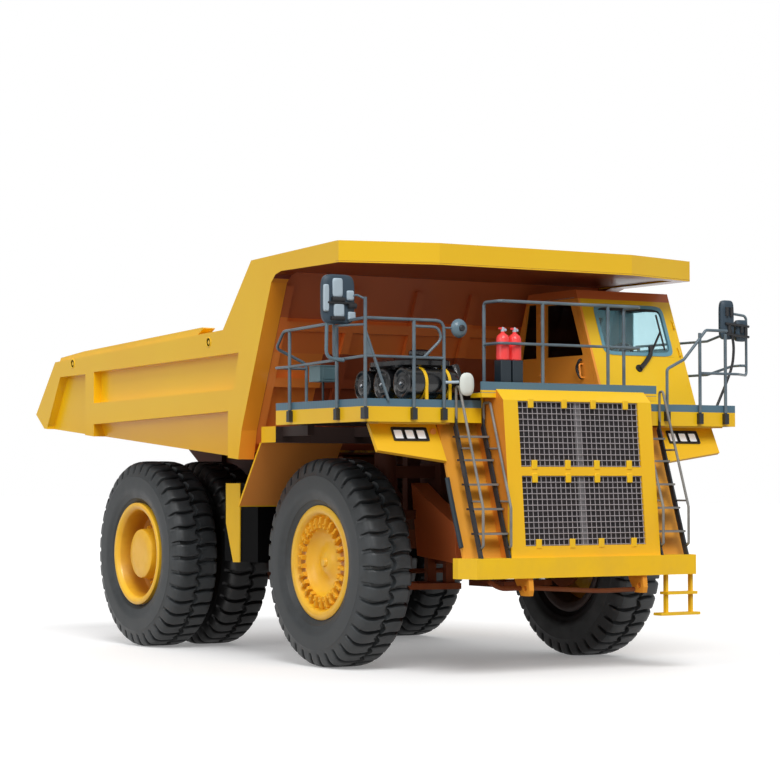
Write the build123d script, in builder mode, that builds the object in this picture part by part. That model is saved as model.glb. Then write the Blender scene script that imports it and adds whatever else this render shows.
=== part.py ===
from build123d import *
from math import hypot
import os

# Rigid mining dump truck, 100 t class.  Millimetres.
# The truck faces -Y, +X is its left (cab) side, the ground is z = 0.

# ---- driving dimensions ----
WHEELBASE = 4950
FRONT_AXLE_Y = -2540
REAR_AXLE_Y = FRONT_AXLE_Y + WHEELBASE
NOSE_Y = -5330          # front face of the bumper
TAIL_Y = 5330           # tip of the dump body

TYRE_R = 1350
TYRE_W = 740
BEAD_R = 635            # tyre bore
BEAD_FIT = 0.5          # tyre bore to rim barrel
FLANGE_R = 740          # rim flange that shows round the tyre bore
FRONT_TYRE_X = 1980
REAR_TYRE_X = (1270, 2130)

RAIL_X = (340, 560)     # main rail, inner and outer face
RAIL_TOP = 2420
RAIL_LOW = 1850
FRONT_RAIL_TOP = 2000
FRONT_RAIL_LOW = 1500
RAIL_FRONT_Y = -4600
RAIL_TAIL_Y = REAR_AXLE_Y + 1290
RAIL_NIP = 450           # length of the tapered ends of the rails

KINGPIN_X = 1250
KINGPIN_R = 110
PIN_FIT = 0.3           # radial clearance of every turning pin
RUN_GAP = 6             # side clearance of moving pieces
STEER_ARM = (0, 450, 1180)     # arm pin from the kingpin in x and y, and its height;
                               # straight arms keep the tie rod level with the axle

DECK_TOP = 3310         # side decks
DECK_HALF = 2878
DECK_FRONT_Y = -4706
DECK_REAR_Y = -2486
DECK_INNER_X = 1200
CENTRE_TOP = 3490       # centre deck over the radiator and engine
CENTRE_HALF = 1360      # its front part
CENTRE_FRONT_Y = -4950
CENTRE_TOE = 135        # toe board of the centre deck
PLATE = 60              # deck plate
TOE = 90                # toe board height above the plate
TOE_T = 30
FASCIA = 190            # deck edge below the plate top
HOUSE_TOP = CENTRE_TOP - PLATE
RAIL_TUBE_R = 22
RAIL_HIGH = 1000        # top rail above the plate
RAIL_MID = 540
TOP_TUBE_R = 20
MID_TUBE_R = 18
CENTRE_RAIL_HIGH = 1145
CENTRE_RAIL_X = (-1047, 1150)
CENTRE_RAIL_REAR = -4540
CENTRE_POSTS_X = (-397, 625)

HOUSE_HALF = 1150       # radiator housing
HOUSE_LOW = 1460
HOUSE_REAR_Y = -4260
HOUSE_WALL = 60
HOUSE_LEAN = 0.094      # the front leans back this much per unit of height
HOUSE_FOOT_Y = -5285    # front face at the foot
SCREEN_HALF = 931
SCREENS_Z = ((1600, 2465), (2575, 3390))
VISOR_FOOT_Z = 3400     # the slope from the screens up to the deck's toe board

BUMPER_Z = (1210, HOUSE_LOW)
BUMPER_REAR_Y = -4950
BUMPER_HALF = 1790
BUMPER_NOSE_HALF = 1690

CAB_X = (1210, 2770)
CAB_WALL = 60
CAB_LOW = DECK_TOP
CAB_TOP = 4970
CAB_LEAN = 0.395        # windscreen set back per unit of height
CAB_FOOT_Y = -4066      # front face at the deck
CAB_REAR_Y = -2020
CAB_REAR_TOP_Y = -2320
CAB_BEND_Z = 4200       # the rear wall leans forward above this

BODY_HALF = 2780        # outer face of the side walls
BODY_WALL = 240
BODY_IN = BODY_HALF - BODY_WALL
POCKET = 120            # depth of the pressed panels
FLOOR_T = 60
FLOOR_RISE = 60         # floor plate above the lower edge of the sides
CANOPY_TOP = 5385
CANOPY_LOW = 5111
CANOPY_NOSE_Y = -4247
CANOPY_SIDE_Y = -3893
CANOPY_NOSE_HALF = 1516

BED_PIVOT = (REAR_AXLE_Y + 1040, 2150)     # y, z of the body's hinge pin
BED_PIN_R = 70
SILL_X = (350, 550)
SILL_LOW = RAIL_TOP + 20
HOIST_X = 720
HOIST_FOOT = (REAR_AXLE_Y - 1410, 1150)    # y, z of the barrel's lower pin
HOIST_HEAD = (REAR_AXLE_Y - 1560, 2600)    # y, z of the rod's eye on the body
HOIST_PIN_R = 50
EYE_HALF = 82           # half length of the rod's eye


# ---- small helpers that work inside a part's own block ----
def block(x, y, z, mode=Mode.ADD):
    """Box between the low and high value on each axis."""
    with Locations(((x[0] + x[1]) / 2, (y[0] + y[1]) / 2, (z[0] + z[1]) / 2)):
        Box(x[1] - x[0], y[1] - y[0], z[1] - z[0], mode=mode)


def side_shape(points, x, mode=Mode.ADD):
    """Plate cut to an outline of (y, z) corners, between two x values."""
    with BuildSketch(Plane.YZ.offset(x[0])) as outline:
        with BuildLine():
            Polyline(*points, close=True)
        make_face()
    extrude(outline.sketch, amount=x[1] - x[0], mode=mode)


def plan_shape(points, z, mode=Mode.ADD):
    """Plate cut to an outline of (x, y) corners, between two z values."""
    with BuildSketch(Plane.XY.offset(z[0])) as outline:
        with BuildLine():
            Polyline(*points, close=True)
        make_face()
    extrude(outline.sketch, amount=z[1] - z[0], mode=mode)


def rod(start, end, radius, mode=Mode.ADD):
    """Round bar from one point to another."""
    along = Vector(*end) - Vector(*start)
    with BuildSketch(Plane(origin=start, z_dir=along)) as section:
        Circle(radius)
    extrude(section.sketch, amount=along.length, mode=mode)


def turned(points, y, z, mode=Mode.ADD):
    """Outline of (x, radius) corners turned about the line along X at y, z."""
    with BuildSketch(Plane(origin=(0, y, z), x_dir=(1, 0, 0), z_dir=(0, -1, 0))) as section:
        with BuildLine():
            Polyline(*points, close=True)
        make_face()
    revolve(section.sketch, axis=Axis((0, y, z), (1, 0, 0)), mode=mode)


def bent_tube(points, radius, bend):
    """Round tube along a path with rounded corners."""
    with BuildLine() as path:
        FilletPolyline(*points, radius=bend)
    with BuildSketch(Plane(origin=points[0], z_dir=Vector(*points[1]) - Vector(*points[0]))) as section:
        Circle(radius)
    sweep(section.sketch, path=path.line)


def save(part, name):
    part.label = name
    export_step(part, f"parts/{name}.step")


os.makedirs("parts", exist_ok=True)

# =====================================================================
# Chassis
# =====================================================================
RISE_Y = (FRONT_AXLE_Y + 790, FRONT_AXLE_Y + 1290)     # the rails step up behind the front axle
rail_outline = [
    (BUMPER_REAR_Y, BUMPER_Z[0] + 20), (BUMPER_REAR_Y, HOUSE_LOW - 10),
    (RAIL_FRONT_Y, HOUSE_LOW - 10), (RAIL_FRONT_Y, FRONT_RAIL_TOP),
    (RISE_Y[0], FRONT_RAIL_TOP), (RISE_Y[1], RAIL_TOP), (RAIL_TAIL_Y - RAIL_NIP, RAIL_TOP),
    (RAIL_TAIL_Y, RAIL_TOP - 120), (RAIL_TAIL_Y, RAIL_LOW + 140), (RAIL_TAIL_Y - RAIL_NIP, RAIL_LOW),
    (RISE_Y[1] + 350, RAIL_LOW), (RISE_Y[0] + 250, FRONT_RAIL_LOW), (-4300, FRONT_RAIL_LOW),
]
# round cross tubes between the rails: y, z, radius
CROSS_TUBES = ((-350, 2130, 150), (REAR_AXLE_Y - 510, 2180, 140), (REAR_AXLE_Y + 890, 2120, 150))
# strut towers on the rails and the brackets that hold the strut tubes
STRUT_R = 150
STRUT_Z = (1750, 2780)
NOSE_BEAM_Y = (HOIST_FOOT[0] + 100, HOIST_FOOT[0] + 260)   # hung cross beam that holds the axle's nose
NOSE_R = 130
FRONT_UPRIGHT_Y = (HOUSE_REAR_Y + 20, HOUSE_REAR_Y + 140)
with BuildPart() as main_frame:
    for side in (1, -1):
        x = sorted((side * RAIL_X[0], side * RAIL_X[1]))
        side_shape(rail_outline, x)
        tower = sorted((side * 400, side * RAIL_X[1]))
        block(tower, (FRONT_AXLE_Y - 260, FRONT_AXLE_Y + 240), (FRONT_RAIL_TOP - 50, 2640))
        arm = sorted((side * 500, side * KINGPIN_X))
        for low, high in ((1900, 2020), (2440, 2600)):
            block(arm, (FRONT_AXLE_Y - 130, FRONT_AXLE_Y + 130), (low, high))
        rod((side * KINGPIN_X, FRONT_AXLE_Y, STRUT_Z[0]), (side * KINGPIN_X, FRONT_AXLE_Y, STRUT_Z[1]), STRUT_R)
        hanger = sorted((side * 400, side * 540))
        side_shape([(HOIST_FOOT[0] - 130, HOIST_FOOT[1]), (HOIST_FOOT[0] - 180, RAIL_LOW + 50),
                    (NOSE_BEAM_Y[1], RAIL_LOW + 50), (NOSE_BEAM_Y[1], HOIST_FOOT[1])], hanger)
        # upright under the deck beams
        block(x, (-1980, -1860), (FRONT_RAIL_TOP - 50, 2910))
        block(x, FRONT_UPRIGHT_Y, (FRONT_RAIL_TOP - 50, CENTRE_TOP - PLATE))
        # hinge boss for the dump body's pin
        rod((side * (RAIL_X[1] - 20), *BED_PIVOT), (side * (RAIL_X[1] + 4), *BED_PIVOT), 150)
    for y, z, radius in CROSS_TUBES:
        rod((-RAIL_X[0] - 50, y, z), (RAIL_X[0] + 50, y, z), radius)
    block((-RAIL_X[0] - 50, RAIL_X[0] + 50), (-4200, -4060), (FRONT_RAIL_LOW, 1600))
    block((-RAIL_X[0] - 50, RAIL_X[0] + 50), (FRONT_AXLE_Y - 150, FRONT_AXLE_Y + 150), (1300, 1600))
    block((-540, 540), NOSE_BEAM_Y, (HOIST_FOOT[1], 1500))
    rod((-540, *HOIST_FOOT), (540, *HOIST_FOOT), 110)
    rod((-HOIST_X - 110, *HOIST_FOOT), (HOIST_X + 110, *HOIST_FOOT), HOIST_PIN_R)
    rod((-RAIL_X[1] - 110, *BED_PIVOT), (RAIL_X[1] + 110, *BED_PIVOT), BED_PIN_R)
    # bore for the drive shaft through the hung beam
    rod((0, NOSE_BEAM_Y[0] - 5, TYRE_R), (0, NOSE_BEAM_Y[1] + 5, TYRE_R), 95, mode=Mode.SUBTRACT)
save(main_frame.part, "main_frame")

# lower arms from the frame to the foot of each strut rod
ARM_TOP = 1060
with BuildPart() as front_lower_arms:
    for side in (1, -1):
        plan_shape([(side * RAIL_X[0], FRONT_AXLE_Y - 420), (side * RAIL_X[0], FRONT_AXLE_Y + 420),
                    (side * (RAIL_X[0] + 160), FRONT_AXLE_Y + 420),
                    (side * KINGPIN_X, FRONT_AXLE_Y + 120), (side * KINGPIN_X, FRONT_AXLE_Y - 120),
                    (side * (RAIL_X[0] + 160), FRONT_AXLE_Y - 420)], (ARM_TOP - 80, ARM_TOP))
        with Locations((side * KINGPIN_X, FRONT_AXLE_Y, ARM_TOP - 40)):
            Cylinder(150, 80)
        plan_shape([(side * 620, FRONT_AXLE_Y - 220), (side * 620, FRONT_AXLE_Y + 220),
                    (side * 960, FRONT_AXLE_Y + 60), (side * 960, FRONT_AXLE_Y - 60)],
                   (ARM_TOP - 100, ARM_TOP + 20), mode=Mode.SUBTRACT)
        for end in (-1, 1):
            y = FRONT_AXLE_Y + end * 225
            block(sorted((side * RAIL_X[0], side * (RAIL_X[0] + 140))), (y - 40, y + 40),
                  (ARM_TOP, FRONT_RAIL_LOW))
save(front_lower_arms.part, "front_lower_arms")

# strut rods: the front pair are the kingpins, the rear pair stand behind the axle
REAR_STRUT_X = 700
REAR_STRUT = ((REAR_AXLE_Y + 400, 1330), (REAR_AXLE_Y + 720, 2260))
with BuildPart() as suspension_struts:
    for side in (1, -1):
        rod((side * KINGPIN_X, FRONT_AXLE_Y, ARM_TOP), (side * KINGPIN_X, FRONT_AXLE_Y, STRUT_Z[0]), KINGPIN_R)
        low = (side * REAR_STRUT_X, *REAR_STRUT[0])
        high = (side * REAR_STRUT_X, *REAR_STRUT[1])
        middle = tuple(a + (b - a) * 0.45 for a, b in zip(low, high))
        rod(low, middle, 62)
        rod(middle, high, 88)
        for y, z in REAR_STRUT:
            rod((side * (REAR_STRUT_X - 75), y, z), (side * (REAR_STRUT_X + 75), y, z), 95)
        rod((side * RAIL_X[1], *REAR_STRUT[1]), (side * (REAR_STRUT_X - 75), *REAR_STRUT[1]), 45)
save(suspension_struts.part, "suspension_struts")

# rear axle: turned housing, torque tube nose and strut brackets
AXLE_BOWL_R = 430
SPINDLE_R = 200
SPINDLE_END = 2080
housing_half = [(0, AXLE_BOWL_R), (230, AXLE_BOWL_R), (480, 280), (860, 260), (880, 470), (1230, 470),
                (1250, SPINDLE_R), (SPINDLE_END, SPINDLE_R)]
with BuildPart() as rear_axle_housing:
    turned([(-x, r) for x, r in reversed(housing_half)] + housing_half[1:] + [(SPINDLE_END, 0), (-SPINDLE_END, 0)],
           REAR_AXLE_Y, TYRE_R)
    with BuildSketch(Plane(origin=(0, NOSE_BEAM_Y[1], TYRE_R), z_dir=(0, 1, 0))):
        Circle(NOSE_R)
    with BuildSketch(Plane(origin=(0, REAR_AXLE_Y - 300, TYRE_R), z_dir=(0, 1, 0))):
        Circle(260)
    loft()
    for side in (1, -1):
        x = sorted((side * (REAR_STRUT_X - 125), side * (REAR_STRUT_X - 76)))
        side_shape([(REAR_AXLE_Y + 100, 1180), (REAR_STRUT[0][0] + 80, 1230), (REAR_STRUT[0][0] + 80, 1430),
                    (REAR_AXLE_Y + 100, 1540)], x)
save(rear_axle_housing.part, "rear_axle_housing")

# engine, gearbox and drive shaft as plain heavy masses
with BuildPart() as powertrain:
    block((-330, 330), (-4180, -2700), (1600, 2950))
    block((-280, 280), (-2700, -700), (1600, 2300))
    rod((0, -700, 1700), (0, -200, 1700), 90)
    rod((0, -200, 1700), (0, NOSE_BEAM_Y[0] - 60, TYRE_R), 75)
    rod((0, NOSE_BEAM_Y[0] - 80, TYRE_R), (0, NOSE_BEAM_Y[1], TYRE_R), 75)
save(powertrain.part, "powertrain")

# ---- radiator housing, core and screens ----
def house_front(z):
    """Y of the leaning front face at height z."""
    return HOUSE_FOOT_Y + (z - HOUSE_LOW) * HOUSE_LEAN


VISOR_LAP = 45          # the slope covers the foot of the toe board
with BuildPart() as radiator_housing:
    side_shape([(house_front(HOUSE_LOW), HOUSE_LOW), (house_front(VISOR_FOOT_Z), VISOR_FOOT_Z),
                (CENTRE_FRONT_Y, CENTRE_TOP + VISOR_LAP), (CENTRE_FRONT_Y, HOUSE_TOP),
                (HOUSE_REAR_Y, HOUSE_TOP), (HOUSE_REAR_Y, 2700), (-4600, 2060), (-4600, HOUSE_LOW)],
               (-HOUSE_HALF, HOUSE_HALF))
    inner = HOUSE_HALF - HOUSE_WALL
    side_shape([(house_front(HOUSE_LOW) + HOUSE_WALL, HOUSE_LOW - 10),
                (house_front(HOUSE_TOP) + HOUSE_WALL, HOUSE_TOP - HOUSE_WALL),
                (HOUSE_REAR_Y + 10, HOUSE_TOP - HOUSE_WALL), (HOUSE_REAR_Y + 10, HOUSE_LOW - 10)],
               (-inner, inner), mode=Mode.SUBTRACT)
    for low, high in SCREENS_Z:
        block((-SCREEN_HALF, SCREEN_HALF), (NOSE_Y - 20, HOUSE_REAR_Y - 500), (low, high), mode=Mode.SUBTRACT)
save(radiator_housing.part, "radiator_housing")

SCREEN_T = 20
SCREEN_SINK = 15
with BuildPart() as grille_screens:
    for low, high in SCREENS_Z:
        y0, y1 = house_front(low) + SCREEN_SINK, house_front(high) + SCREEN_SINK
        side_shape([(y0, low), (y1, high), (y1 + SCREEN_T, high), (y0 + SCREEN_T, low)],
                   (-SCREEN_HALF, SCREEN_HALF))
save(grille_screens.part, "grille_screens")

with BuildPart() as radiator_core:
    block((-inner, inner), (-4900, -4680), (HOUSE_LOW + 60, HOUSE_TOP - HOUSE_WALL - 60))
save(radiator_core.part, "radiator_core")

# ---- bumper with its two tow lugs ----
TOW_X = 880
TOW_LUG_T = 70
TOW_BORE_R = 38
TOW_BORE = (-5230, 1080)
with BuildPart() as front_bumper:
    nose = [(-BUMPER_NOSE_HALF, NOSE_Y), (BUMPER_NOSE_HALF, NOSE_Y), (BUMPER_HALF, -5060),
            (BUMPER_HALF, BUMPER_REAR_Y), (-BUMPER_HALF, BUMPER_REAR_Y), (-BUMPER_HALF, -5060)]
    plan_shape(nose, BUMPER_Z)
with BuildPart() as tow_hooks:
    for side in (1, -1):
        x = sorted((side * (TOW_X - TOW_LUG_T / 2), side * (TOW_X + TOW_LUG_T / 2)))
        side_shape([(-5300, BUMPER_Z[0]), (-4990, BUMPER_Z[0]), (-5060, 1100), (-5140, 990),
                    (-5300, 990), (-5320, 1060)], x)
    rod((-TOW_X - 100, *TOW_BORE), (TOW_X + 100, *TOW_BORE), TOW_BORE_R, mode=Mode.SUBTRACT)
save(front_bumper.part, "front_bumper")
save(tow_hooks.part, "tow_hooks")

# ---- ladders beside the radiator housing, and the hanging step under the left one ----
LADDER_X = (1165, 1600)
LADDER_FOOT_Y = -5300
LADDER_LEAN = 0.345
LADDER_TOP = 3185
STRINGER = (25, 75)
TREADS_Z = (1770, 2070, 2370, 2670, 2960)
TREAD_T = 26
HAND_BAR_R = 17
HAND_Y = NOSE_Y + HAND_BAR_R + 3     # upright lower run of the hand bars
HAND_Z = (1560, 2070)   # foot of the bars and the bend where they start to lean
HAND_TOPS_Z = (HOUSE_TOP - 60, 3560)     # inner and outer bar
HAND_CLIPS_Z = (2150, 2800)
STEP_Y = (-5300, -5140)
STEP_TREADS = ((1145, 1780, 690), (1250, 1735, 955))     # x ends and height of each
STEP_POSTS_X = (1265, 1665)
STEP_BAR = 36


def ladder_y(z):
    """Y of the ladder's stringers at height z."""
    return LADDER_FOOT_Y + (z - HOUSE_LOW) * LADDER_LEAN


def hand_y(z):
    """Y of the hand bars above their lower bend."""
    return HAND_Y + (z - HAND_Z[1]) * LADDER_LEAN


with BuildPart() as ladders:
    for side in (1, -1):
        for x in (LADDER_X[0], LADDER_X[1] - STRINGER[0]):
            edges = sorted((side * x, side * (x + STRINGER[0])))
            side_shape([(ladder_y(HOUSE_LOW), HOUSE_LOW), (ladder_y(HOUSE_LOW) + STRINGER[1], HOUSE_LOW),
                        (ladder_y(LADDER_TOP - 125) + STRINGER[1], LADDER_TOP - 125),
                        (DECK_FRONT_Y, LADDER_TOP - 75), (DECK_FRONT_Y, LADDER_TOP),
                        (ladder_y(LADDER_TOP - 45), LADDER_TOP - 45)], edges)
        for z in TREADS_Z:
            block(sorted((side * LADDER_X[0], side * LADDER_X[1])),
                  (ladder_y(z) - 40, ladder_y(z) + STRINGER[1] + 50), (z - TREAD_T, z))
        # hand bars that stand off the stringers; the inner one ends under the centre deck
        for x, high in zip((LADDER_X[0] + STRINGER[0] / 2, LADDER_X[1] - STRINGER[0] / 2), HAND_TOPS_Z):
            back = DECK_FRONT_Y - HAND_BAR_R - 2
            grip = [(side * x, ladder_y(HAND_Z[0]) + 30, HAND_Z[0]), (side * x, HAND_Y, HAND_Z[0] + 50),
                    (side * x, HAND_Y, HAND_Z[1]), (side * x, hand_y(high), high),
                    (side * x, back, high), (side * x, back, LADDER_TOP - 90)]
            bent_tube(grip, HAND_BAR_R, 28)
            for z in HAND_CLIPS_Z:
                rod((side * x, ladder_y(z) + 20, z), (side * x, hand_y(z), z), HAND_BAR_R - 5)
save(ladders.part, "ladders")

with BuildPart() as lower_step:
    for x in STEP_POSTS_X:
        block((x, x + STEP_BAR), (STEP_Y[0] + 50, STEP_Y[1] - 50), (STEP_TREADS[0][2], BUMPER_Z[0]))
    for low, high, z in STEP_TREADS:
        block((low, high), STEP_Y, (z, z + STEP_BAR))
save(lower_step.part, "lower_step")

# ---- decks ----
BEAM_TOP = DECK_TOP - PLATE
BEAM_HALF = 2600
REAR_BEAM_Y = (-1980, -1600)
RISER_Y = (DECK_REAR_Y - TOE_T - 130, DECK_REAR_Y - TOE_T - 10)
with BuildPart() as deck_beams:
    block((-BEAM_HALF, BEAM_HALF), REAR_BEAM_Y, (2910, 3120))
    block((-BEAM_HALF, BEAM_HALF), RISER_Y, (3120, BEAM_TOP))
    for x in (-2500, -1400, 1300, 2400):
        block((x, x + 100), (RISER_Y[0], REAR_BEAM_Y[0] + 50), (2990, 3120))
    for side in (1, -1):
        block(sorted((side * RAIL_X[1], side * BEAM_HALF)), FRONT_UPRIGHT_Y, (3120, BEAM_TOP))
save(deck_beams.part, "deck_beams")

with BuildPart() as side_decks:
    for side in (1, -1):
        outer = sorted((side * DECK_INNER_X, side * DECK_HALF))
        block(outer, (DECK_FRONT_Y, DECK_REAR_Y), (DECK_TOP - PLATE, DECK_TOP))
        edge = sorted((side * (DECK_HALF - TOE_T), side * DECK_HALF))
        block(edge, (DECK_FRONT_Y, DECK_REAR_Y), (DECK_TOP - FASCIA, DECK_TOP + TOE))
        block(outer, (DECK_FRONT_Y, DECK_FRONT_Y + TOE_T), (DECK_TOP - FASCIA, DECK_TOP + TOE))
        block(outer, (DECK_REAR_Y - TOE_T, DECK_REAR_Y), (DECK_TOP - FASCIA, DECK_TOP))
save(side_decks.part, "side_decks")

with BuildPart() as centre_deck:
    block((-DECK_INNER_X, DECK_INNER_X), (DECK_FRONT_Y, DECK_REAR_Y), (HOUSE_TOP, CENTRE_TOP))
    block((-CENTRE_HALF, CENTRE_HALF), (CENTRE_FRONT_Y, DECK_FRONT_Y), (HOUSE_TOP, CENTRE_TOP))
    block((-CENTRE_HALF, CENTRE_HALF), (CENTRE_FRONT_Y, CENTRE_FRONT_Y + TOE_T),
          (HOUSE_TOP, CENTRE_TOP + CENTRE_TOE))
    for side in (1, -1):
        block(sorted((side * (DECK_INNER_X - TOE_T), side * DECK_INNER_X)), (DECK_FRONT_Y, DECK_REAR_Y),
              (DECK_TOP, HOUSE_TOP))
save(centre_deck.part, "centre_deck")

# ---- fenders: leaning headlamp panels under the decks' edge, guards behind the front wheels ----
FENDER_TOP = (-4440, DECK_TOP - FASCIA)     # y, z of the panels' upper edge
FENDER_LEAN = 0.557     # the panels lean forward this much per unit of height
FENDER_T = 50
FENDER_OUT = 2685
SHELF_T = 20            # ledge that holds the panels behind the fascia
LAMP_X = (1880, 2390)
LAMP_DROP = (75, 260)   # lamp box below the panel's upper edge, measured down the slope
LAMP_LENS = 125
GUARD_X = (1350, 2600)
PANEL_BACK = 230        # ladder stringers' face to the panel behind them
PANEL_T = 40
PANEL_OUT = 1710
FENDER_IN = PANEL_OUT + 2
fender_plane = Plane(origin=(0, *FENDER_TOP), x_dir=(1, 0, 0), z_dir=(0, -1, FENDER_LEAN))
slope_length = hypot(1, FENDER_LEAN)
# corners of a panel as (x, distance down the slope)
fender_corners = [(FENDER_IN, 0), (FENDER_OUT, 0), (FENDER_OUT - 15, 345 * slope_length),
                  (FENDER_IN, 474 * slope_length)]
lamp_mid = (sum(LAMP_X) / 2, -sum(LAMP_DROP) / 2)
lamp_size = (LAMP_X[1] - LAMP_X[0], LAMP_DROP[1] - LAMP_DROP[0])
with BuildPart() as fenders:
    for side in (1, -1):
        with BuildSketch(fender_plane) as panel:
            with BuildLine():
                Polyline(*[(side * x, -drop) for x, drop in fender_corners], close=True)
            make_face()
            with Locations((side * lamp_mid[0], lamp_mid[1])):
                Rectangle(*lamp_size, mode=Mode.SUBTRACT)
        extrude(panel.sketch, amount=-FENDER_T)
        block(sorted((side * (PANEL_OUT - 60), side * FENDER_OUT)), (DECK_FRONT_Y + TOE_T, FENDER_TOP[0] + 20),
              (FENDER_TOP[1] - SHELF_T, FENDER_TOP[1] + SHELF_T))
        # leaning panel behind the ladder, from the bumper up to the deck plate
        lean = [(ladder_y(z) + step, z) for z, step in (
            (HOUSE_LOW, PANEL_BACK), (DECK_TOP - PLATE, PANEL_BACK),
            (DECK_TOP - PLATE, PANEL_BACK + PANEL_T), (HOUSE_LOW, PANEL_BACK + PANEL_T))]
        side_shape(lean, sorted((side * HOUSE_HALF, side * PANEL_OUT)))
with BuildPart() as rear_guards:
    for side in (1, -1):
        side_shape([(-1600, 2910), (-1560, 2910), (-940, 2060), (-985, 2060)],
                   sorted((side * GUARD_X[0], side * GUARD_X[1])))
save(fenders.part, "fenders")
save(rear_guards.part, "wheel_guards")

with BuildPart() as headlamps:
    for side in (1, -1):
        with BuildSketch(fender_plane) as box:
            with Locations((side * lamp_mid[0], lamp_mid[1])):
                Rectangle(*lamp_size)
        extrude(box.sketch, amount=-FENDER_T + 10)
        with BuildSketch(fender_plane) as lenses:
            with Locations((side * lamp_mid[0], lamp_mid[1])):
                with GridLocations(lamp_size[0] / 3, 0, 3, 1):
                    Rectangle(LAMP_LENS, LAMP_LENS)
        extrude(lenses.sketch, amount=12)
save(headlamps.part, "headlamps")

# ---- handrails ----
POST_OUT = 5            # post face to deck edge


def post(x, y, low, high):
    """Upright rail post."""
    rod((x, y, low), (x, y, high), RAIL_TUBE_R)


rail_x = DECK_HALF + RAIL_TUBE_R + POST_OUT
rail_y = DECK_FRONT_Y - RAIL_TUBE_R - POST_OUT
top_z, mid_z = DECK_TOP + RAIL_HIGH, DECK_TOP + RAIL_MID
foot_z = DECK_TOP - FASCIA + 30
SOCKET = 70             # width of the post sockets, half their height
GATE_X = 1772           # post beside the right ladder
RETURN_X = 2460         # short post of the right rail's rear return
RETURN_Y = DECK_REAR_Y - 60
LEFT_POSTS_X = (2260, 2693)
LEFT_GATE_X = 1709
LEFT_SIDE_POSTS_Y = (-2600, -3400)
MIRROR_RIGHT_Y = -4250
MIRROR_LEFT_Y = -4500
MIRROR_OUT = 3270       # widest point of the truck, both sides
STAY_Z = 4290           # stay to the right mirror's carrier, below its head
with BuildPart() as handrail_right:
    for y in (-2890, -4060):
        post(-rail_x, y, foot_z, top_z - 20)
        block((-rail_x - 30, -DECK_HALF), (y - SOCKET / 2, y + SOCKET / 2), (foot_z, foot_z + SOCKET * 2))
    post(-rail_x, rail_y, foot_z, 4620)
    block((-rail_x - 30, -DECK_HALF), (rail_y - 30, DECK_FRONT_Y + SOCKET), (foot_z, foot_z + SOCKET * 2))
    for x, high in ((-2210, top_z), (-GATE_X, mid_z + 40)):
        post(x, rail_y, foot_z, high)
        block((x - SOCKET / 2, x + SOCKET / 2), (rail_y - 30, DECK_FRONT_Y), (foot_z, foot_z + SOCKET * 2))
    # the top rail drops at the rear and turns in to a short post
    bent_tube([(-rail_x, rail_y, top_z + 60), (-rail_x, -2735, top_z), (-rail_x, RETURN_Y, top_z - 210),
               (-RETURN_X, RETURN_Y, top_z - 400), (-RETURN_X, RETURN_Y, DECK_TOP)], TOP_TUBE_R, 40)
    rod((-rail_x, RETURN_Y, mid_z), (-RETURN_X, RETURN_Y, mid_z), MID_TUBE_R)
    rod((-rail_x, -2890, mid_z), (-rail_x, RETURN_Y, mid_z), MID_TUBE_R)
    # brace from the corner post to the toe board, and the bent stay beside the gate
    rod((-rail_x, rail_y, top_z - 90), (-2570, DECK_FRONT_Y - MID_TUBE_R - 1, DECK_TOP + TOE - 20), MID_TUBE_R)
    bent_tube([(-2210, rail_y, top_z - 20), (-1860, rail_y, top_z - 20), (-1800, rail_y, top_z - 160),
               (-2070, rail_y, mid_z + 60)], MID_TUBE_R, 60)
    rod((-rail_x, -2890, mid_z), (-rail_x, rail_y, mid_z + 60), MID_TUBE_R)
    rod((-rail_x, rail_y, mid_z + 60), (-GATE_X, rail_y, mid_z + 60), MID_TUBE_R)
    bent_tube([(-rail_x, rail_y, top_z + 60), (-GATE_X - 110, rail_y, top_z + 60), (-GATE_X, rail_y, top_z - 60),
               (-GATE_X, rail_y, mid_z)], TOP_TUBE_R, 90)
    rod((-rail_x, rail_y, top_z), (-2210, rail_y, DECK_TOP + 260), 15)
    # carrier of the right mirror, bent out over the rail
    bent_tube([(-rail_x, MIRROR_RIGHT_Y, mid_z + 40), (-3060, MIRROR_RIGHT_Y, mid_z + 40),
               (-3060, MIRROR_RIGHT_Y, 4700)], MID_TUBE_R, 60)
    rod((-rail_x, rail_y, STAY_Z), (-3060, MIRROR_RIGHT_Y, STAY_Z), 14)
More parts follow.
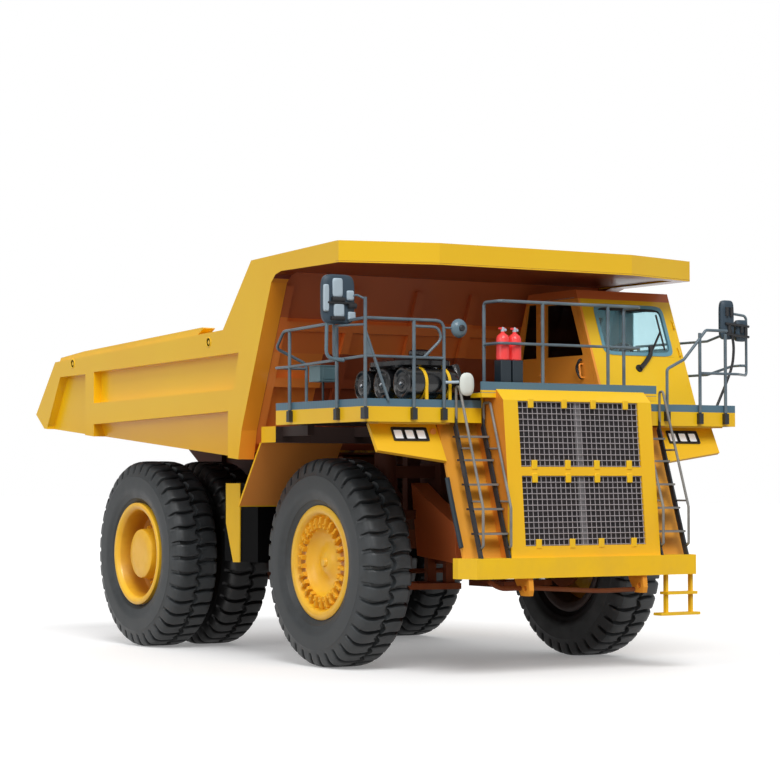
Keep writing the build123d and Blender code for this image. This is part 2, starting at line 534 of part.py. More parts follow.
with BuildPart() as handrail_left:
    for x in LEFT_POSTS_X:
        post(x, rail_y, foot_z, top_z + 40)
        block((x - SOCKET / 2, x + SOCKET / 2), (rail_y - 30, DECK_FRONT_Y), (foot_z, foot_z + SOCKET * 2))
    # front rail that climbs in two bends from the ladder to the outer post
    bent_tube([(LEFT_GATE_X, rail_y, DECK_TOP - 100), (LEFT_GATE_X, rail_y, mid_z + 10), (1993, rail_y, mid_z + 143),
               (LEFT_POSTS_X[0] - 48, rail_y, top_z - 86), (2365, rail_y, top_z + 80),
               (LEFT_POSTS_X[1] + 30, rail_y, top_z + 80)], TOP_TUBE_R, 60)
    block((LEFT_GATE_X - SOCKET / 2, LEFT_GATE_X + SOCKET / 2), (rail_y - 30, DECK_FRONT_Y),
          (DECK_TOP - 130, DECK_TOP + 10))
    outer = MIRROR_OUT - MID_TUBE_R
    bent_tube([(LEFT_POSTS_X[0], rail_y, mid_z - 30), (2900, rail_y, mid_z - 30), (outer, MIRROR_LEFT_Y, mid_z - 30),
               (outer, MIRROR_LEFT_Y, 4620), (2860, MIRROR_LEFT_Y, 4660)], MID_TUBE_R, 60)
    # side rails behind the cab's flank, bent out to the mirror
    for y in LEFT_SIDE_POSTS_Y:
        post(rail_x, y, foot_z, top_z - 20)
        block((DECK_HALF, rail_x + 30), (y - SOCKET / 2, y + SOCKET / 2), (foot_z, foot_z + SOCKET * 2))
    for z, end in ((top_z - 20, (2925, MIRROR_LEFT_Y - MID_TUBE_R, 4345)), (mid_z - 15, (3150, MIRROR_LEFT_Y, 3950))):
        bent_tube([(rail_x, RETURN_Y, z), (rail_x, -4100, z), (end[0], -4330, end[2]), end], MID_TUBE_R, 60)
    rod((3150, MIRROR_LEFT_Y, 3950), (outer, MIRROR_LEFT_Y, 3950), MID_TUBE_R)
with BuildPart() as handrail_centre:
    # front rail with its two returns
    cy = CENTRE_FRONT_Y + TOE_T + RAIL_TUBE_R + 5
    high = CENTRE_TOP + CENTRE_RAIL_HIGH
    for x in CENTRE_POSTS_X:
        post(x, cy, CENTRE_TOP, high)
    for x in CENTRE_RAIL_X:
        post(x, CENTRE_RAIL_REAR, CENTRE_TOP, high - 100)
    for z, radius in ((high, TOP_TUBE_R), (CENTRE_TOP + 620, MID_TUBE_R)):
        bent_tube([(CENTRE_RAIL_X[0], CENTRE_RAIL_REAR, z - 110), (CENTRE_RAIL_X[0], CENTRE_RAIL_REAR, z),
                   (CENTRE_RAIL_X[0], cy, z), (CENTRE_RAIL_X[1], cy, z), (CENTRE_RAIL_X[1], CENTRE_RAIL_REAR, z),
                   (CENTRE_RAIL_X[1], CENTRE_RAIL_REAR, z - 110)], radius, 50)
save(handrail_right.part, "handrail_right")
save(handrail_left.part, "handrail_left")
save(handrail_centre.part, "handrail_centre")

# ---- mirrors on their carriers ----
MIRROR_T = 90
MIRROR_FIT = 0.3        # clamp to tube
ROUND_R = 118
BAR_MIRROR_ARM_R = 12
BAR_MIRROR = (-1513, 3590)     # x, z of the mirror held by the right ladder's outer hand bar
BAR_ARM_Z = 3485
BAR_MIRROR_Y = hand_y(BAR_ARM_Z) - (HAND_BAR_R + BAR_MIRROR_ARM_R + MIRROR_FIT) * hypot(1, LADDER_LEAN)
with BuildPart() as mirrors:
    y = MIRROR_RIGHT_Y - MID_TUBE_R - 0.3
    block((-MIRROR_OUT, -rail_x - TOP_TUBE_R - 10), (y - MIRROR_T, y), (4310, 4915))
    block((-rail_x - TOP_TUBE_R - 11, -2805), (y - MIRROR_T, y), (top_z + 100, 4915))
    y = MIRROR_LEFT_Y - MID_TUBE_R - 0.3
    block((2750, 2980), (y - MIRROR_T, y), (4290, 4815))
    block((3010, MIRROR_OUT - 50), (y - MIRROR_T, y - 10), (4270, 4560))
    block((2980, 3010), (y - 60, y - 30), (4400, 4440))
    # round mirrors: a stub from the gate's post, and one on the right ladder's outer hand bar
    rod((-GATE_X + TOP_TUBE_R + MIRROR_FIT, rail_y, top_z - 120), (-1560, rail_y, top_z - 120), 14)
    rod((-1548, rail_y - 20, top_z - 25), (-1548, rail_y + 35, top_z - 25), ROUND_R)
    x, z = BAR_MIRROR
    rod((x, BAR_MIRROR_Y - 20, z), (x, BAR_MIRROR_Y + 15, z), ROUND_R)
    rod((-LADDER_X[1] - 20, BAR_MIRROR_Y, BAR_ARM_Z), (x, BAR_MIRROR_Y, BAR_ARM_Z), BAR_MIRROR_ARM_R)
save(mirrors.part, "mirrors")

# ---- air cleaners on the right deck: three drums lying across, stacked fore and aft ----
CLEANER_R = 195
CLEANER_X = (-2250, -1480)
CLEANERS_Y = (-4500, -4040, -3575)
CLEANER_Z = DECK_TOP + 290
with BuildPart() as air_cleaners:
    for y in CLEANERS_Y:
        rod((CLEANER_X[0], y, CLEANER_Z), (CLEANER_X[1], y, CLEANER_Z), CLEANER_R)
        for x in (CLEANER_X[0] + 260, CLEANER_X[1] - 180):
            block((x, x + 60), (y - 150, y + 150), (DECK_TOP, CLEANER_Z - 100))
save(air_cleaners.part, "air_cleaners")

BOTTLE_R = 84
BOTTLE_Y = -4780
BOTTLE_Z = (3905, 4240)
with BuildPart() as fire_extinguishers:
    for x in (-927, -748):
        rod((x, BOTTLE_Y, BOTTLE_Z[0]), (x, BOTTLE_Y, BOTTLE_Z[1]), BOTTLE_R)
        rod((x, BOTTLE_Y, BOTTLE_Z[1]), (x, BOTTLE_Y, BOTTLE_Z[1] + 95), 32)
    # stand the bottles are set in
    block((-1020, -655), (BOTTLE_Y - 100, BOTTLE_Y + 100), (CENTRE_TOP, BOTTLE_Z[0]))
save(fire_extinguishers.part, "fire_extinguishers")

with BuildPart() as control_box:
    block((-rail_x + RAIL_TUBE_R, -2700), (-3680, -3150), (3600, 3840))
    block((-2820, -2760), (-3450, -3400), (DECK_TOP, 3600))
save(control_box.part, "control_box")

# ---- tanks between the wheels ----
TANK_Y = (-780, 170)
TANK_Z = (1300, 2380)
with BuildPart() as hydraulic_tank:
    block((-2200, -760), TANK_Y, TANK_Z)
    block((-760, -RAIL_X[1]), (-600, 0), (1900, 2300))
save(hydraulic_tank.part, "hydraulic_tank")
with BuildPart() as fuel_tank:
    block((760, 2200), TANK_Y, TANK_Z)
    block((RAIL_X[1], 760), (-600, 0), (1900, 2300))
save(fuel_tank.part, "fuel_tank")

# =====================================================================
# Cab
# =====================================================================
def cab_front(z):
    """Y of the leaning windscreen wall at height z."""
    return CAB_FOOT_Y + (z - CAB_LOW) * CAB_LEAN


def cab_outline(inset):
    """Side outline of the cab, moved in by the wall thickness."""
    low, top = CAB_LOW + inset, CAB_TOP - inset
    slope = (CAB_REAR_TOP_Y - CAB_REAR_Y) / (CAB_TOP - CAB_BEND_Z)
    return [(cab_front(low) + inset, low), (cab_front(top) + inset, top),
            (CAB_REAR_Y + slope * (top - CAB_BEND_Z) - inset, top),
            (CAB_REAR_Y - inset, CAB_BEND_Z), (CAB_REAR_Y - inset, low)]


WINDOW_Z = (4080, 4790)
DOOR_Z = (3620, 4860)
DOOR_REAR_Y = -2620
DOOR_PILLAR = 80        # front pillar beside the door
DOOR_GAP = 8
GLASS_T = 12
GLASS_FIT = 0.5
QUARTER_Y = (-2150, -2500)


def door_outline(grow):
    """Door outline of (y, z) corners, grown on every side."""
    low, top = DOOR_Z[0] - grow, DOOR_Z[1] + grow
    return [(cab_front(low) + DOOR_PILLAR - grow, low), (cab_front(top) + DOOR_PILLAR - grow, top),
            (DOOR_REAR_Y + grow, top), (DOOR_REAR_Y + grow, low)]


def side_window(rear, pillar, grow):
    """Window outline between a rear edge and the leaning front pillar."""
    low, top = WINDOW_Z[0] - grow, WINDOW_Z[1] + grow
    return [(cab_front(low) + pillar - grow, low), (cab_front(top) + pillar - grow, top),
            (rear + grow, top), (rear + grow, low)]


def quarter_window(grow):
    low, top = WINDOW_Z[0] - grow, WINDOW_Z[1] + 30 + grow
    return [(QUARTER_Y[1] - grow, low), (QUARTER_Y[1] - grow, top), (QUARTER_Y[0] - 170 + grow, top),
            (QUARTER_Y[0] + grow, low)]


# door hinges: pins on the cab, knuckles on the door
HINGE = (CAB_X[0] - 14, DOOR_REAR_Y + DOOR_GAP)
HINGES_Z = (3800, 4620)
HINGE_PIN_R = 8
HINGE_R = 14
SCREEN_X = (CAB_X[0] + 210, CAB_X[1] - 160)
LEFT_WINDOW_REAR = -2500
with BuildPart() as cab_shell:
    side_shape(cab_outline(0), CAB_X)
    side_shape(cab_outline(CAB_WALL), (CAB_X[0] + CAB_WALL, CAB_X[1] - CAB_WALL), mode=Mode.SUBTRACT)
    side_shape(door_outline(DOOR_GAP), (CAB_X[0] - 5, CAB_X[0] + CAB_WALL + 5), mode=Mode.SUBTRACT)
    side_shape(quarter_window(0), (CAB_X[0] - 5, CAB_X[0] + CAB_WALL + 5), mode=Mode.SUBTRACT)
    side_shape(side_window(LEFT_WINDOW_REAR, 150, 0), (CAB_X[1] - CAB_WALL - 5, CAB_X[1] + 5), mode=Mode.SUBTRACT)
    block(SCREEN_X, (cab_front(WINDOW_Z[0]) - 200, cab_front(WINDOW_Z[1]) + 200), WINDOW_Z, mode=Mode.SUBTRACT)
    block((CAB_X[0] + 250, CAB_X[1] - 250), (-2400, CAB_REAR_Y + 20), (4230, 4700), mode=Mode.SUBTRACT)
    for z in HINGES_Z:
        rod((*HINGE, z - 60), (*HINGE, z + 60), HINGE_PIN_R)
        for low in (z - 60, z + 35):
            rod((*HINGE, low), (*HINGE, low + 25), HINGE_R)
            block((HINGE[0] - HINGE_R, CAB_X[0] + 2), (HINGE[1], HINGE[1] + 55), (low, low + 25))
save(cab_shell.part, "cab_shell")

with BuildPart() as cab_glass:
    low, top = WINDOW_Z[0] + GLASS_FIT, WINDOW_Z[1] - GLASS_FIT
    side_shape([(cab_front(low) + 20, low), (cab_front(top) + 20, top), (cab_front(top) + 20 + GLASS_T, top),
                (cab_front(low) + 20 + GLASS_T, low)], (SCREEN_X[0] + GLASS_FIT, SCREEN_X[1] - GLASS_FIT))
    side_shape(quarter_window(-GLASS_FIT), (CAB_X[0] + 20, CAB_X[0] + 20 + GLASS_T))
    side_shape(side_window(LEFT_WINDOW_REAR, 150, -GLASS_FIT), (CAB_X[1] - 20 - GLASS_T, CAB_X[1] - 20))
    slope = (CAB_REAR_TOP_Y - CAB_REAR_Y) / (CAB_TOP - CAB_BEND_Z)
    low, top = 4230 + GLASS_FIT, 4700 - GLASS_FIT
    rear_low, rear_top = (CAB_REAR_Y + slope * (z - CAB_BEND_Z) - 20 for z in (low, top))
    side_shape([(rear_low, low), (rear_top, top), (rear_top - GLASS_T, top), (rear_low - GLASS_T, low)],
               (CAB_X[0] + 250 + GLASS_FIT, CAB_X[1] - 250 - GLASS_FIT))
save(cab_glass.part, "cab_glass")

SEAT_X = 1990
FLOOR_Z = CAB_LOW + CAB_WALL
with BuildPart() as operator_seat:
    block((SEAT_X - 230, SEAT_X + 230), (-3050, -2560), (FLOOR_Z + 330, FLOOR_Z + 470))
    block((SEAT_X - 180, SEAT_X + 180), (-2950, -2620), (FLOOR_Z, FLOOR_Z + 330))
    side_shape([(-2680, FLOOR_Z + 420), (-2540, FLOOR_Z + 420), (-2430, FLOOR_Z + 1080), (-2540, FLOOR_Z + 1080)],
               (SEAT_X - 230, SEAT_X + 230))
save(operator_seat.part, "operator_seat")

with BuildPart() as dashboard:
    dash_top = WINDOW_Z[0] - 60
    side_shape([(cab_front(FLOOR_Z) + CAB_WALL, FLOOR_Z), (cab_front(dash_top) + CAB_WALL, dash_top),
                (cab_front(dash_top) + CAB_WALL + 230, dash_top), (cab_front(FLOOR_Z) + CAB_WALL + 120, FLOOR_Z)],
               (CAB_X[0] + CAB_WALL + 40, CAB_X[1] - CAB_WALL))
    rod((SEAT_X, -3560, FLOOR_Z + 520), (SEAT_X, -3330, FLOOR_Z + 720), 30)
    with BuildSketch(Plane(origin=(SEAT_X, -3330, FLOOR_Z + 720), z_dir=(0, 230, 200))):
        Circle(225)
        Circle(190, mode=Mode.SUBTRACT)
        Rectangle(420, 45)
    extrude(amount=30)
save(dashboard.part, "dashboard")

with BuildPart() as cab_door:
    side_shape(door_outline(0), (CAB_X[0], CAB_X[0] + CAB_WALL))
    side_shape(side_window(DOOR_REAR_Y - 130, DOOR_PILLAR + 110, 0), (CAB_X[0] - 5, CAB_X[0] + CAB_WALL + 5),
               mode=Mode.SUBTRACT)
    with BuildLine() as grip_path:
        FilletPolyline((CAB_X[0], -3590, 3780), (CAB_X[0] - 55, -3590, 3780), (CAB_X[0] - 55, -3560, 3960),
                       (CAB_X[0], -3560, 3960), radius=20)
    with BuildSketch(Plane(origin=(CAB_X[0], -3590, 3780), z_dir=(-1, 0, 0))):
        Circle(12)
    sweep(path=grip_path.line)
    for z in HINGES_Z:
        rod((*HINGE, z - 34.7), (*HINGE, z + 34.7), HINGE_R)
        block((HINGE[0] - HINGE_R, CAB_X[0] + 2), (HINGE[1] - 60, HINGE[1]), (z - 34.7, z + 34.7))
        rod((*HINGE, z - 40), (*HINGE, z + 40), HINGE_PIN_R + PIN_FIT, mode=Mode.SUBTRACT)
save(cab_door.part, "cab_door")

with BuildPart() as door_glass:
    side_shape(side_window(DOOR_REAR_Y - 130, DOOR_PILLAR + 110, -GLASS_FIT), (CAB_X[0] + 20, CAB_X[0] + 20 + GLASS_T))
save(door_glass.part, "door_glass")

# =====================================================================
# Dump body
# =====================================================================
EDGE_FOOT = (-1290, 2693)      # lower front corner of the sides
EDGE_KNEE = (-1379, 3076)
EDGE_TOP = (-2183, 4983)       # where the post turns into the canopy
TAIL_LOW = (5018, 3223)
TAIL_TIP = (TAIL_Y, 3448)
TAIL_TOP = (4621, 4235)
RIM_FRONT = (-850, 4435)       # top rail meets the post
CANOPY_REAR = (-1640, 5311)
BOTTOM_SLOPE = (TAIL_LOW[1] - EDGE_FOOT[1]) / (TAIL_LOW[0] - EDGE_FOOT[0])
POST_SLOPE = (EDGE_TOP[0] - EDGE_KNEE[0]) / (EDGE_TOP[1] - EDGE_KNEE[1])


def body_low(y):
    """Height of the sides' lower edge at y."""
    return EDGE_FOOT[1] + (y - EDGE_FOOT[0]) * BOTTOM_SLOPE


def post_front(z):
    """Y of the leaning front edge at height z."""
    return EDGE_KNEE[0] + (z - EDGE_KNEE[1]) * POST_SLOPE


FASCIA_T = 73           # front lip of the canopy
SIDE_FRONT_Y = CANOPY_SIDE_Y + FASCIA_T
side_outline = [EDGE_FOOT, EDGE_KNEE, EDGE_TOP, (EDGE_TOP[0] - 110, CANOPY_LOW - 35),
                (EDGE_TOP[0] - 260, CANOPY_LOW), (SIDE_FRONT_Y, CANOPY_LOW), (SIDE_FRONT_Y, CANOPY_TOP),
                CANOPY_REAR, RIM_FRONT, TAIL_TOP, TAIL_TIP, TAIL_LOW]
# pressed panels of the sides as (y, z) corners: the long upper one and the one at the tail
PANELS = (
    [(-1300, 4110), (3220, 4030), (3220, 3565), (-1155, 3630)],
    [(3520, 4010), (4430, 4000), (4900, 3250), (4900, 2950), (3520, 2950)],
)
# lower panel, slanting in from a shelf to the lower edge: y of its ends, height of the shelf
SHELF = ((-1000, 3338), (3220, 3253))
SLANT_FOOT = BODY_IN + 25
# board along the top of each side
BOARD = [(60, 4380), (-180, 4500), (-150, 4512), (3700, 4362), (4540, 4300), (4590, 4225)]
BOARD_X = (BODY_IN, BODY_HALF - 60)


def body_side(side):
    """Side wall with its pressed panels open to the outside."""
    with BuildPart() as wall:
        side_shape(side_outline, sorted((side * BODY_IN, side * BODY_HALF)))
        for panel in PANELS:
            side_shape(panel, sorted((side * (BODY_HALF - POCKET), side * (BODY_HALF + 5))), mode=Mode.SUBTRACT)
        sections = []
        for y, shelf in SHELF:
            with BuildSketch(Plane(origin=(0, y, 0), x_dir=(1, 0, 0), z_dir=(0, -1, 0))) as section:
                with BuildLine():
                    Polyline((side * (BODY_HALF - POCKET), shelf), (side * (BODY_HALF + 5), shelf),
                             (side * (BODY_HALF + 5), body_low(y) - 60), (side * SLANT_FOOT, body_low(y) - 60),
                             close=True)
                make_face()
            sections.append(section.sketch.face())
        loft(sections, mode=Mode.SUBTRACT)
        side_shape(BOARD, sorted((side * BOARD_X[0], side * BOARD_X[1])))
    return wall.part


save(body_side(1), "body_side_left")
save(body_side(-1), "body_side_right")

HEAD_T = 60
HEAD_SET = 80           # headboard plate behind the post's front edge
BOLSTER = 90            # depth of the cross bolsters below the sides' edge


def floor_top(y):
    """Height of the load floor at y."""
    return body_low(y) + FLOOR_RISE + FLOOR_T


with BuildPart() as body_floor:
    front_y = post_front(body_low(-1200)) + HEAD_SET
    lift = FLOOR_RISE
    side_shape([(front_y, body_low(front_y) + lift), (front_y, body_low(front_y) + lift + FLOOR_T),
                (TAIL_LOW[0], TAIL_LOW[1] + lift + FLOOR_T), (TAIL_TIP[0], TAIL_TIP[1] + 20),
                (TAIL_TIP[0], TAIL_TIP[1] - 60), (TAIL_LOW[0] + 40, TAIL_LOW[1] + lift)], (-BODY_IN, BODY_IN))
    # cross bolsters below the plate
    for y in (-850, -50, 1450, 2250, 3050, 3850, 4600):
        side_shape([(y, body_low(y) + lift + 10), (y, body_low(y) - BOLSTER), (y + 120, body_low(y + 120) - BOLSTER),
                    (y + 120, body_low(y + 120) + lift + 10)], (-BODY_IN, BODY_IN))
    # cheeks for the hoist rods' eyes
    for side in (1, -1):
        for x in (HOIST_X - EYE_HALF - RUN_GAP - 34, HOIST_X + EYE_HALF + RUN_GAP):
            edges = sorted((side * x, side * (x + 34)))
            side_shape([(HOIST_HEAD[0] - 100, HOIST_HEAD[1] - 90), (HOIST_HEAD[0] + 100, HOIST_HEAD[1] - 90),
                        (HOIST_HEAD[0] + 200, body_low(HOIST_HEAD[0] + 200) + lift + 10),
                        (HOIST_HEAD[0] - 200, body_low(HOIST_HEAD[0] - 200) + lift + 10)], edges)
save(body_floor.part, "body_floor")

with BuildPart() as body_sills:
    for side in (1, -1):
        x = sorted((side * SILL_X[0], side * SILL_X[1]))
        side_shape([(-1000, SILL_LOW), (-1000, body_low(-1000) - BOLSTER), (4500, body_low(4500) - BOLSTER),
                    (4500, body_low(4500) - 260), (3700, SILL_LOW)], x)
        cheek = sorted((side * (RAIL_X[1] + RUN_GAP), side * (RAIL_X[1] + 70)))
        side_shape([(BED_PIVOT[0] - 140, BED_PIVOT[1] - 100), (BED_PIVOT[0] + 140, BED_PIVOT[1] - 100),
                    (BED_PIVOT[0] + 260, body_low(BED_PIVOT[0] + 260) - BOLSTER),
                    (BED_PIVOT[0] - 260, body_low(BED_PIVOT[0] - 260) - BOLSTER)], cheek)
        block(sorted((side * (SILL_X[1] - 20), side * (RAIL_X[1] + 30))), (3250, 3650), (SILL_LOW + 60, SILL_LOW + 400))
        rod((side * (RAIL_X[1] - 50), *BED_PIVOT), (side * (RAIL_X[1] + 200), *BED_PIVOT), BED_PIN_R + PIN_FIT,
            mode=Mode.SUBTRACT)
save(body_sills.part, "body_sills")

with BuildPart() as headboard:
    foot_y = front_y
    top = CANOPY_LOW + 20
    side_shape([(foot_y, floor_top(foot_y)), (foot_y + HEAD_T, floor_top(foot_y + HEAD_T)),
                (post_front(top) + HEAD_SET + HEAD_T, top), (post_front(top) + HEAD_SET, top)], (-BODY_IN, BODY_IN))
    # ribs on the front face, upright and level
    for x in (-BODY_IN, -1500, -500, 380, 1380, BODY_IN - 120):
        side_shape([(post_front(2900) + 10, 2900), (post_front(2900) + HEAD_SET + 10, 2900),
                    (post_front(4950) + HEAD_SET + 10, 4950), (post_front(4950) + 10, 4950)], (x, x + 120))
    for z in (2900, 3650, 4380):
        side_shape([(post_front(z) + 10, z), (post_front(z) + HEAD_SET + 10, z),
                    (post_front(z + 120) + HEAD_SET + 10, z + 120), (post_front(z + 120) + 10, z + 120)],
                   (-BODY_IN, BODY_IN))
save(headboard.part, "headboard")

CANOPY_T = 60
with BuildPart() as canopy:
    rear_y = post_front(CANOPY_LOW + 20) + HEAD_SET + HEAD_T
    block((-BODY_IN, BODY_IN), (SIDE_FRONT_Y, rear_y), (CANOPY_LOW + 20, CANOPY_LOW + 20 + CANOPY_T))
    lip = [(-BODY_HALF, SIDE_FRONT_Y), (-BODY_HALF, CANOPY_SIDE_Y), (-CANOPY_NOSE_HALF, CANOPY_NOSE_Y),
           (CANOPY_NOSE_HALF, CANOPY_NOSE_Y), (BODY_HALF, CANOPY_SIDE_Y), (BODY_HALF, SIDE_FRONT_Y)]
    plan_shape(lip, (CANOPY_LOW, CANOPY_TOP))
    inside = [(-BODY_IN, SIDE_FRONT_Y + 5), (-BODY_IN, CANOPY_SIDE_Y), (-CANOPY_NOSE_HALF, CANOPY_NOSE_Y + 73),
              (CANOPY_NOSE_HALF, CANOPY_NOSE_Y + 73), (BODY_IN, CANOPY_SIDE_Y), (BODY_IN, SIDE_FRONT_Y + 5)]
    plan_shape(inside, (CANOPY_LOW + 20 + CANOPY_T, CANOPY_TOP + 5), mode=Mode.SUBTRACT)
save(canopy.part, "canopy")

# =====================================================================
# Hoist: two telescopic cylinders between the frame and the dump body
# =====================================================================
hoist_dy, hoist_dz = HOIST_HEAD[0] - HOIST_FOOT[0], HOIST_HEAD[1] - HOIST_FOOT[1]
HOIST_LENGTH = hypot(hoist_dy, hoist_dz)
BARREL_R, BARREL_BORE = 125, 106
STAGE_R, STAGE_BORE = 105.5, 80
ROD_R = 79.5


def on_hoist(side, distance):
    """Point on a cylinder's centre line, measured up from its lower pin."""
    share = distance / HOIST_LENGTH
    return (side * HOIST_X, HOIST_FOOT[0] + hoist_dy * share, HOIST_FOOT[1] + hoist_dz * share)


with BuildPart() as hoist_barrels:
    for side in (1, -1):
        rod((side * (HOIST_X - 75), *HOIST_FOOT), (side * (HOIST_X + 75), *HOIST_FOOT), 105)
        rod(on_hoist(side, 60), on_hoist(side, 1180), BARREL_R)
        rod(on_hoist(side, 130), on_hoist(side, 1200), BARREL_BORE, mode=Mode.SUBTRACT)
        rod((side * (HOIST_X - 180), *HOIST_FOOT), (side * (HOIST_X + 180), *HOIST_FOOT), HOIST_PIN_R + PIN_FIT,
            mode=Mode.SUBTRACT)
save(hoist_barrels.part, "hoist_barrels")

with BuildPart() as hoist_stages:
    for side in (1, -1):
        rod(on_hoist(side, 140), on_hoist(side, 1220), STAGE_R)
        rod(on_hoist(side, 160), on_hoist(side, 1240), STAGE_BORE, mode=Mode.SUBTRACT)
save(hoist_stages.part, "hoist_stages")

with BuildPart() as hoist_rods:
    for side in (1, -1):
        rod(on_hoist(side, 170), on_hoist(side, HOIST_LENGTH), ROD_R)
        rod((side * (HOIST_X - EYE_HALF), *HOIST_HEAD), (side * (HOIST_X + EYE_HALF), *HOIST_HEAD), 88)
save(hoist_rods.part, "hoist_rods")

# =====================================================================
# Steering knuckles, tie rod and wheels
# =====================================================================
ARM_Z = STEER_ARM[2]
KNUCKLE_Z = (1090, 1700)
SPINDLE_F = 150


def knuckle(side):
    with BuildPart() as part:
        x = side * KINGPIN_X
        rod((x, FRONT_AXLE_Y, KNUCKLE_Z[0]), (x, FRONT_AXLE_Y, KNUCKLE_Z[1]), 190)
        turned([(side * px, r) for px, r in ((KINGPIN_X, 0), (KINGPIN_X, 210), (1420, 210), (1600, 170),
                                             (1610, 400), (1660, 400), (1670, SPINDLE_F), (2110, SPINDLE_F),
                                             (2110, 0))], FRONT_AXLE_Y, TYRE_R)
        end_x = side * (KINGPIN_X + STEER_ARM[0])
        end_y = FRONT_AXLE_Y + STEER_ARM[1]
        plan_shape([(x - 90, FRONT_AXLE_Y), (x + 90, FRONT_AXLE_Y), (end_x + 60, end_y), (end_x - 60, end_y)],
                   (ARM_Z - 80, ARM_Z - 20))
        rod((end_x, end_y, ARM_Z - 80), (end_x, end_y, ARM_Z - 20), 75)
        rod((end_x, end_y, ARM_Z - 30), (end_x, end_y, ARM_Z + 60), 35)
        rod((x, FRONT_AXLE_Y, KNUCKLE_Z[0] - 5), (x, FRONT_AXLE_Y, KNUCKLE_Z[1] + 5), KINGPIN_R + PIN_FIT,
            mode=Mode.SUBTRACT)
    return part.part


save(knuckle(1), "knuckle_left")
save(knuckle(-1), "knuckle_right")

tie_y = FRONT_AXLE_Y + STEER_ARM[1]
tie_x = KINGPIN_X + STEER_ARM[0]
with BuildPart() as tie_rod:
    rod((-tie_x, tie_y, ARM_Z + 15), (tie_x, tie_y, ARM_Z + 15), 32)
    for side in (1, -1):
        rod((side * tie_x, tie_y, ARM_Z - 19.5), (side * tie_x, tie_y, ARM_Z + 50), 70)
    for side in (1, -1):
        rod((side * tie_x, tie_y, ARM_Z - 60), (side * tie_x, tie_y, ARM_Z + 90), 35 + PIN_FIT, mode=Mode.SUBTRACT)
save(tie_rod.part, "tie_rod")


BEAD_HALF = 270         # bead seat to the wheel's middle, inner face of the flanges
FLANGE_T = 30


def tyre_outline(x):
    """Section of a tyre centred on x, as (x, radius) corners."""
    half, bead = TYRE_W / 2, BEAD_HALF - BEAD_FIT
    return [(x - bead, BEAD_R), (x - bead, FLANGE_R + 6), (x - half + 40, 810), (x - half, 980),
            (x - half + 15, 1180), (x - half + 70, 1310), (x - half + 150, TYRE_R), (x + half - 150, TYRE_R),
            (x + half - 70, 1310), (x + half - 15, 1180), (x + half, 980), (x + half - 40, 810),
            (x + bead, FLANGE_R + 6), (x + bead, BEAD_R)]


def front_rim_outline(x):
    """Section of a front wheel: barrel, flanges, dished disc and hub."""
    lip, back = x + BEAD_HALF + FLANGE_T, x - BEAD_HALF - FLANGE_T
    barrel = BEAD_R - BEAD_FIT
    bore = SPINDLE_F + PIN_FIT
    return [(lip, FLANGE_R), (lip, 690), (lip - 25, 650), (lip - 45, 560), (lip - 70, 500), (lip - 95, 480),
            (x + 120, 400), (x + 85, 300), (x + 85, 250), (x + 150, 225), (x + 175, 170), (x + 182, 92),
            (x + 215, 84), (x + 218, 0), (x + 140, 0), (x + 140, bore), (x - 200, bore),
            (x - 200, 260), (x - 20, 330), (x - 20, 430), (x + 40, barrel - 60), (back, barrel - 45),
            (back, FLANGE_R), (back + FLANGE_T, FLANGE_R), (back + FLANGE_T, barrel), (lip - FLANGE_T, barrel),
            (lip - FLANGE_T, FLANGE_R)]


for side, name in ((1, "left"), (-1, "right")):
    with BuildPart() as front_tyre:
        turned([(side * px, r) for px, r in tyre_outline(FRONT_TYRE_X)], FRONT_AXLE_Y, TYRE_R)
    save(front_tyre.part, f"front_tyre_{name}")
    with BuildPart() as front_rim:
        turned([(side * px, r) for px, r in front_rim_outline(FRONT_TYRE_X)], FRONT_AXLE_Y, TYRE_R)
    save(front_rim.part, f"front_rim_{name}")
    with BuildPart() as rear_tyres:
        for x in REAR_TYRE_X:
            turned([(side * px, r) for px, r in tyre_outline(x)], REAR_AXLE_Y, TYRE_R)
    save(rear_tyres.part, f"rear_tyres_{name}")
    inner_x, outer_x = REAR_TYRE_X
    lip, back = outer_x + BEAD_HALF + FLANGE_T, inner_x - BEAD_HALF - FLANGE_T
    barrel = BEAD_R - BEAD_FIT
    bore = SPINDLE_R + PIN_FIT
    with BuildPart() as rear_rims:
        turned([(side * px, r) for px, r in (
            (lip, FLANGE_R), (lip, 700), (lip + 50, 700), (lip + 50, barrel - 45), (outer_x + 110, barrel - 60),
            (outer_x + 40, 480), (outer_x + 60, 400), (outer_x + 60, 340), (outer_x + 190, 330),
            (outer_x + 200, 0), (outer_x, 0), (outer_x, bore), (1300, bore), (1300, 300), (outer_x - 60, 320),
            (outer_x - 60, 500), (outer_x - 10, barrel - 60), (back, barrel - 45), (back, FLANGE_R),
            (back + FLANGE_T, FLANGE_R), (back + FLANGE_T, barrel), (lip - FLANGE_T, barrel),
            (lip - FLANGE_T, FLANGE_R))], REAR_AXLE_Y, TYRE_R)
    save(rear_rims.part, f"rear_rims_{name}")
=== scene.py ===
import math
import bmesh
import bpy
import numpy as np
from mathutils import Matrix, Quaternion, Vector


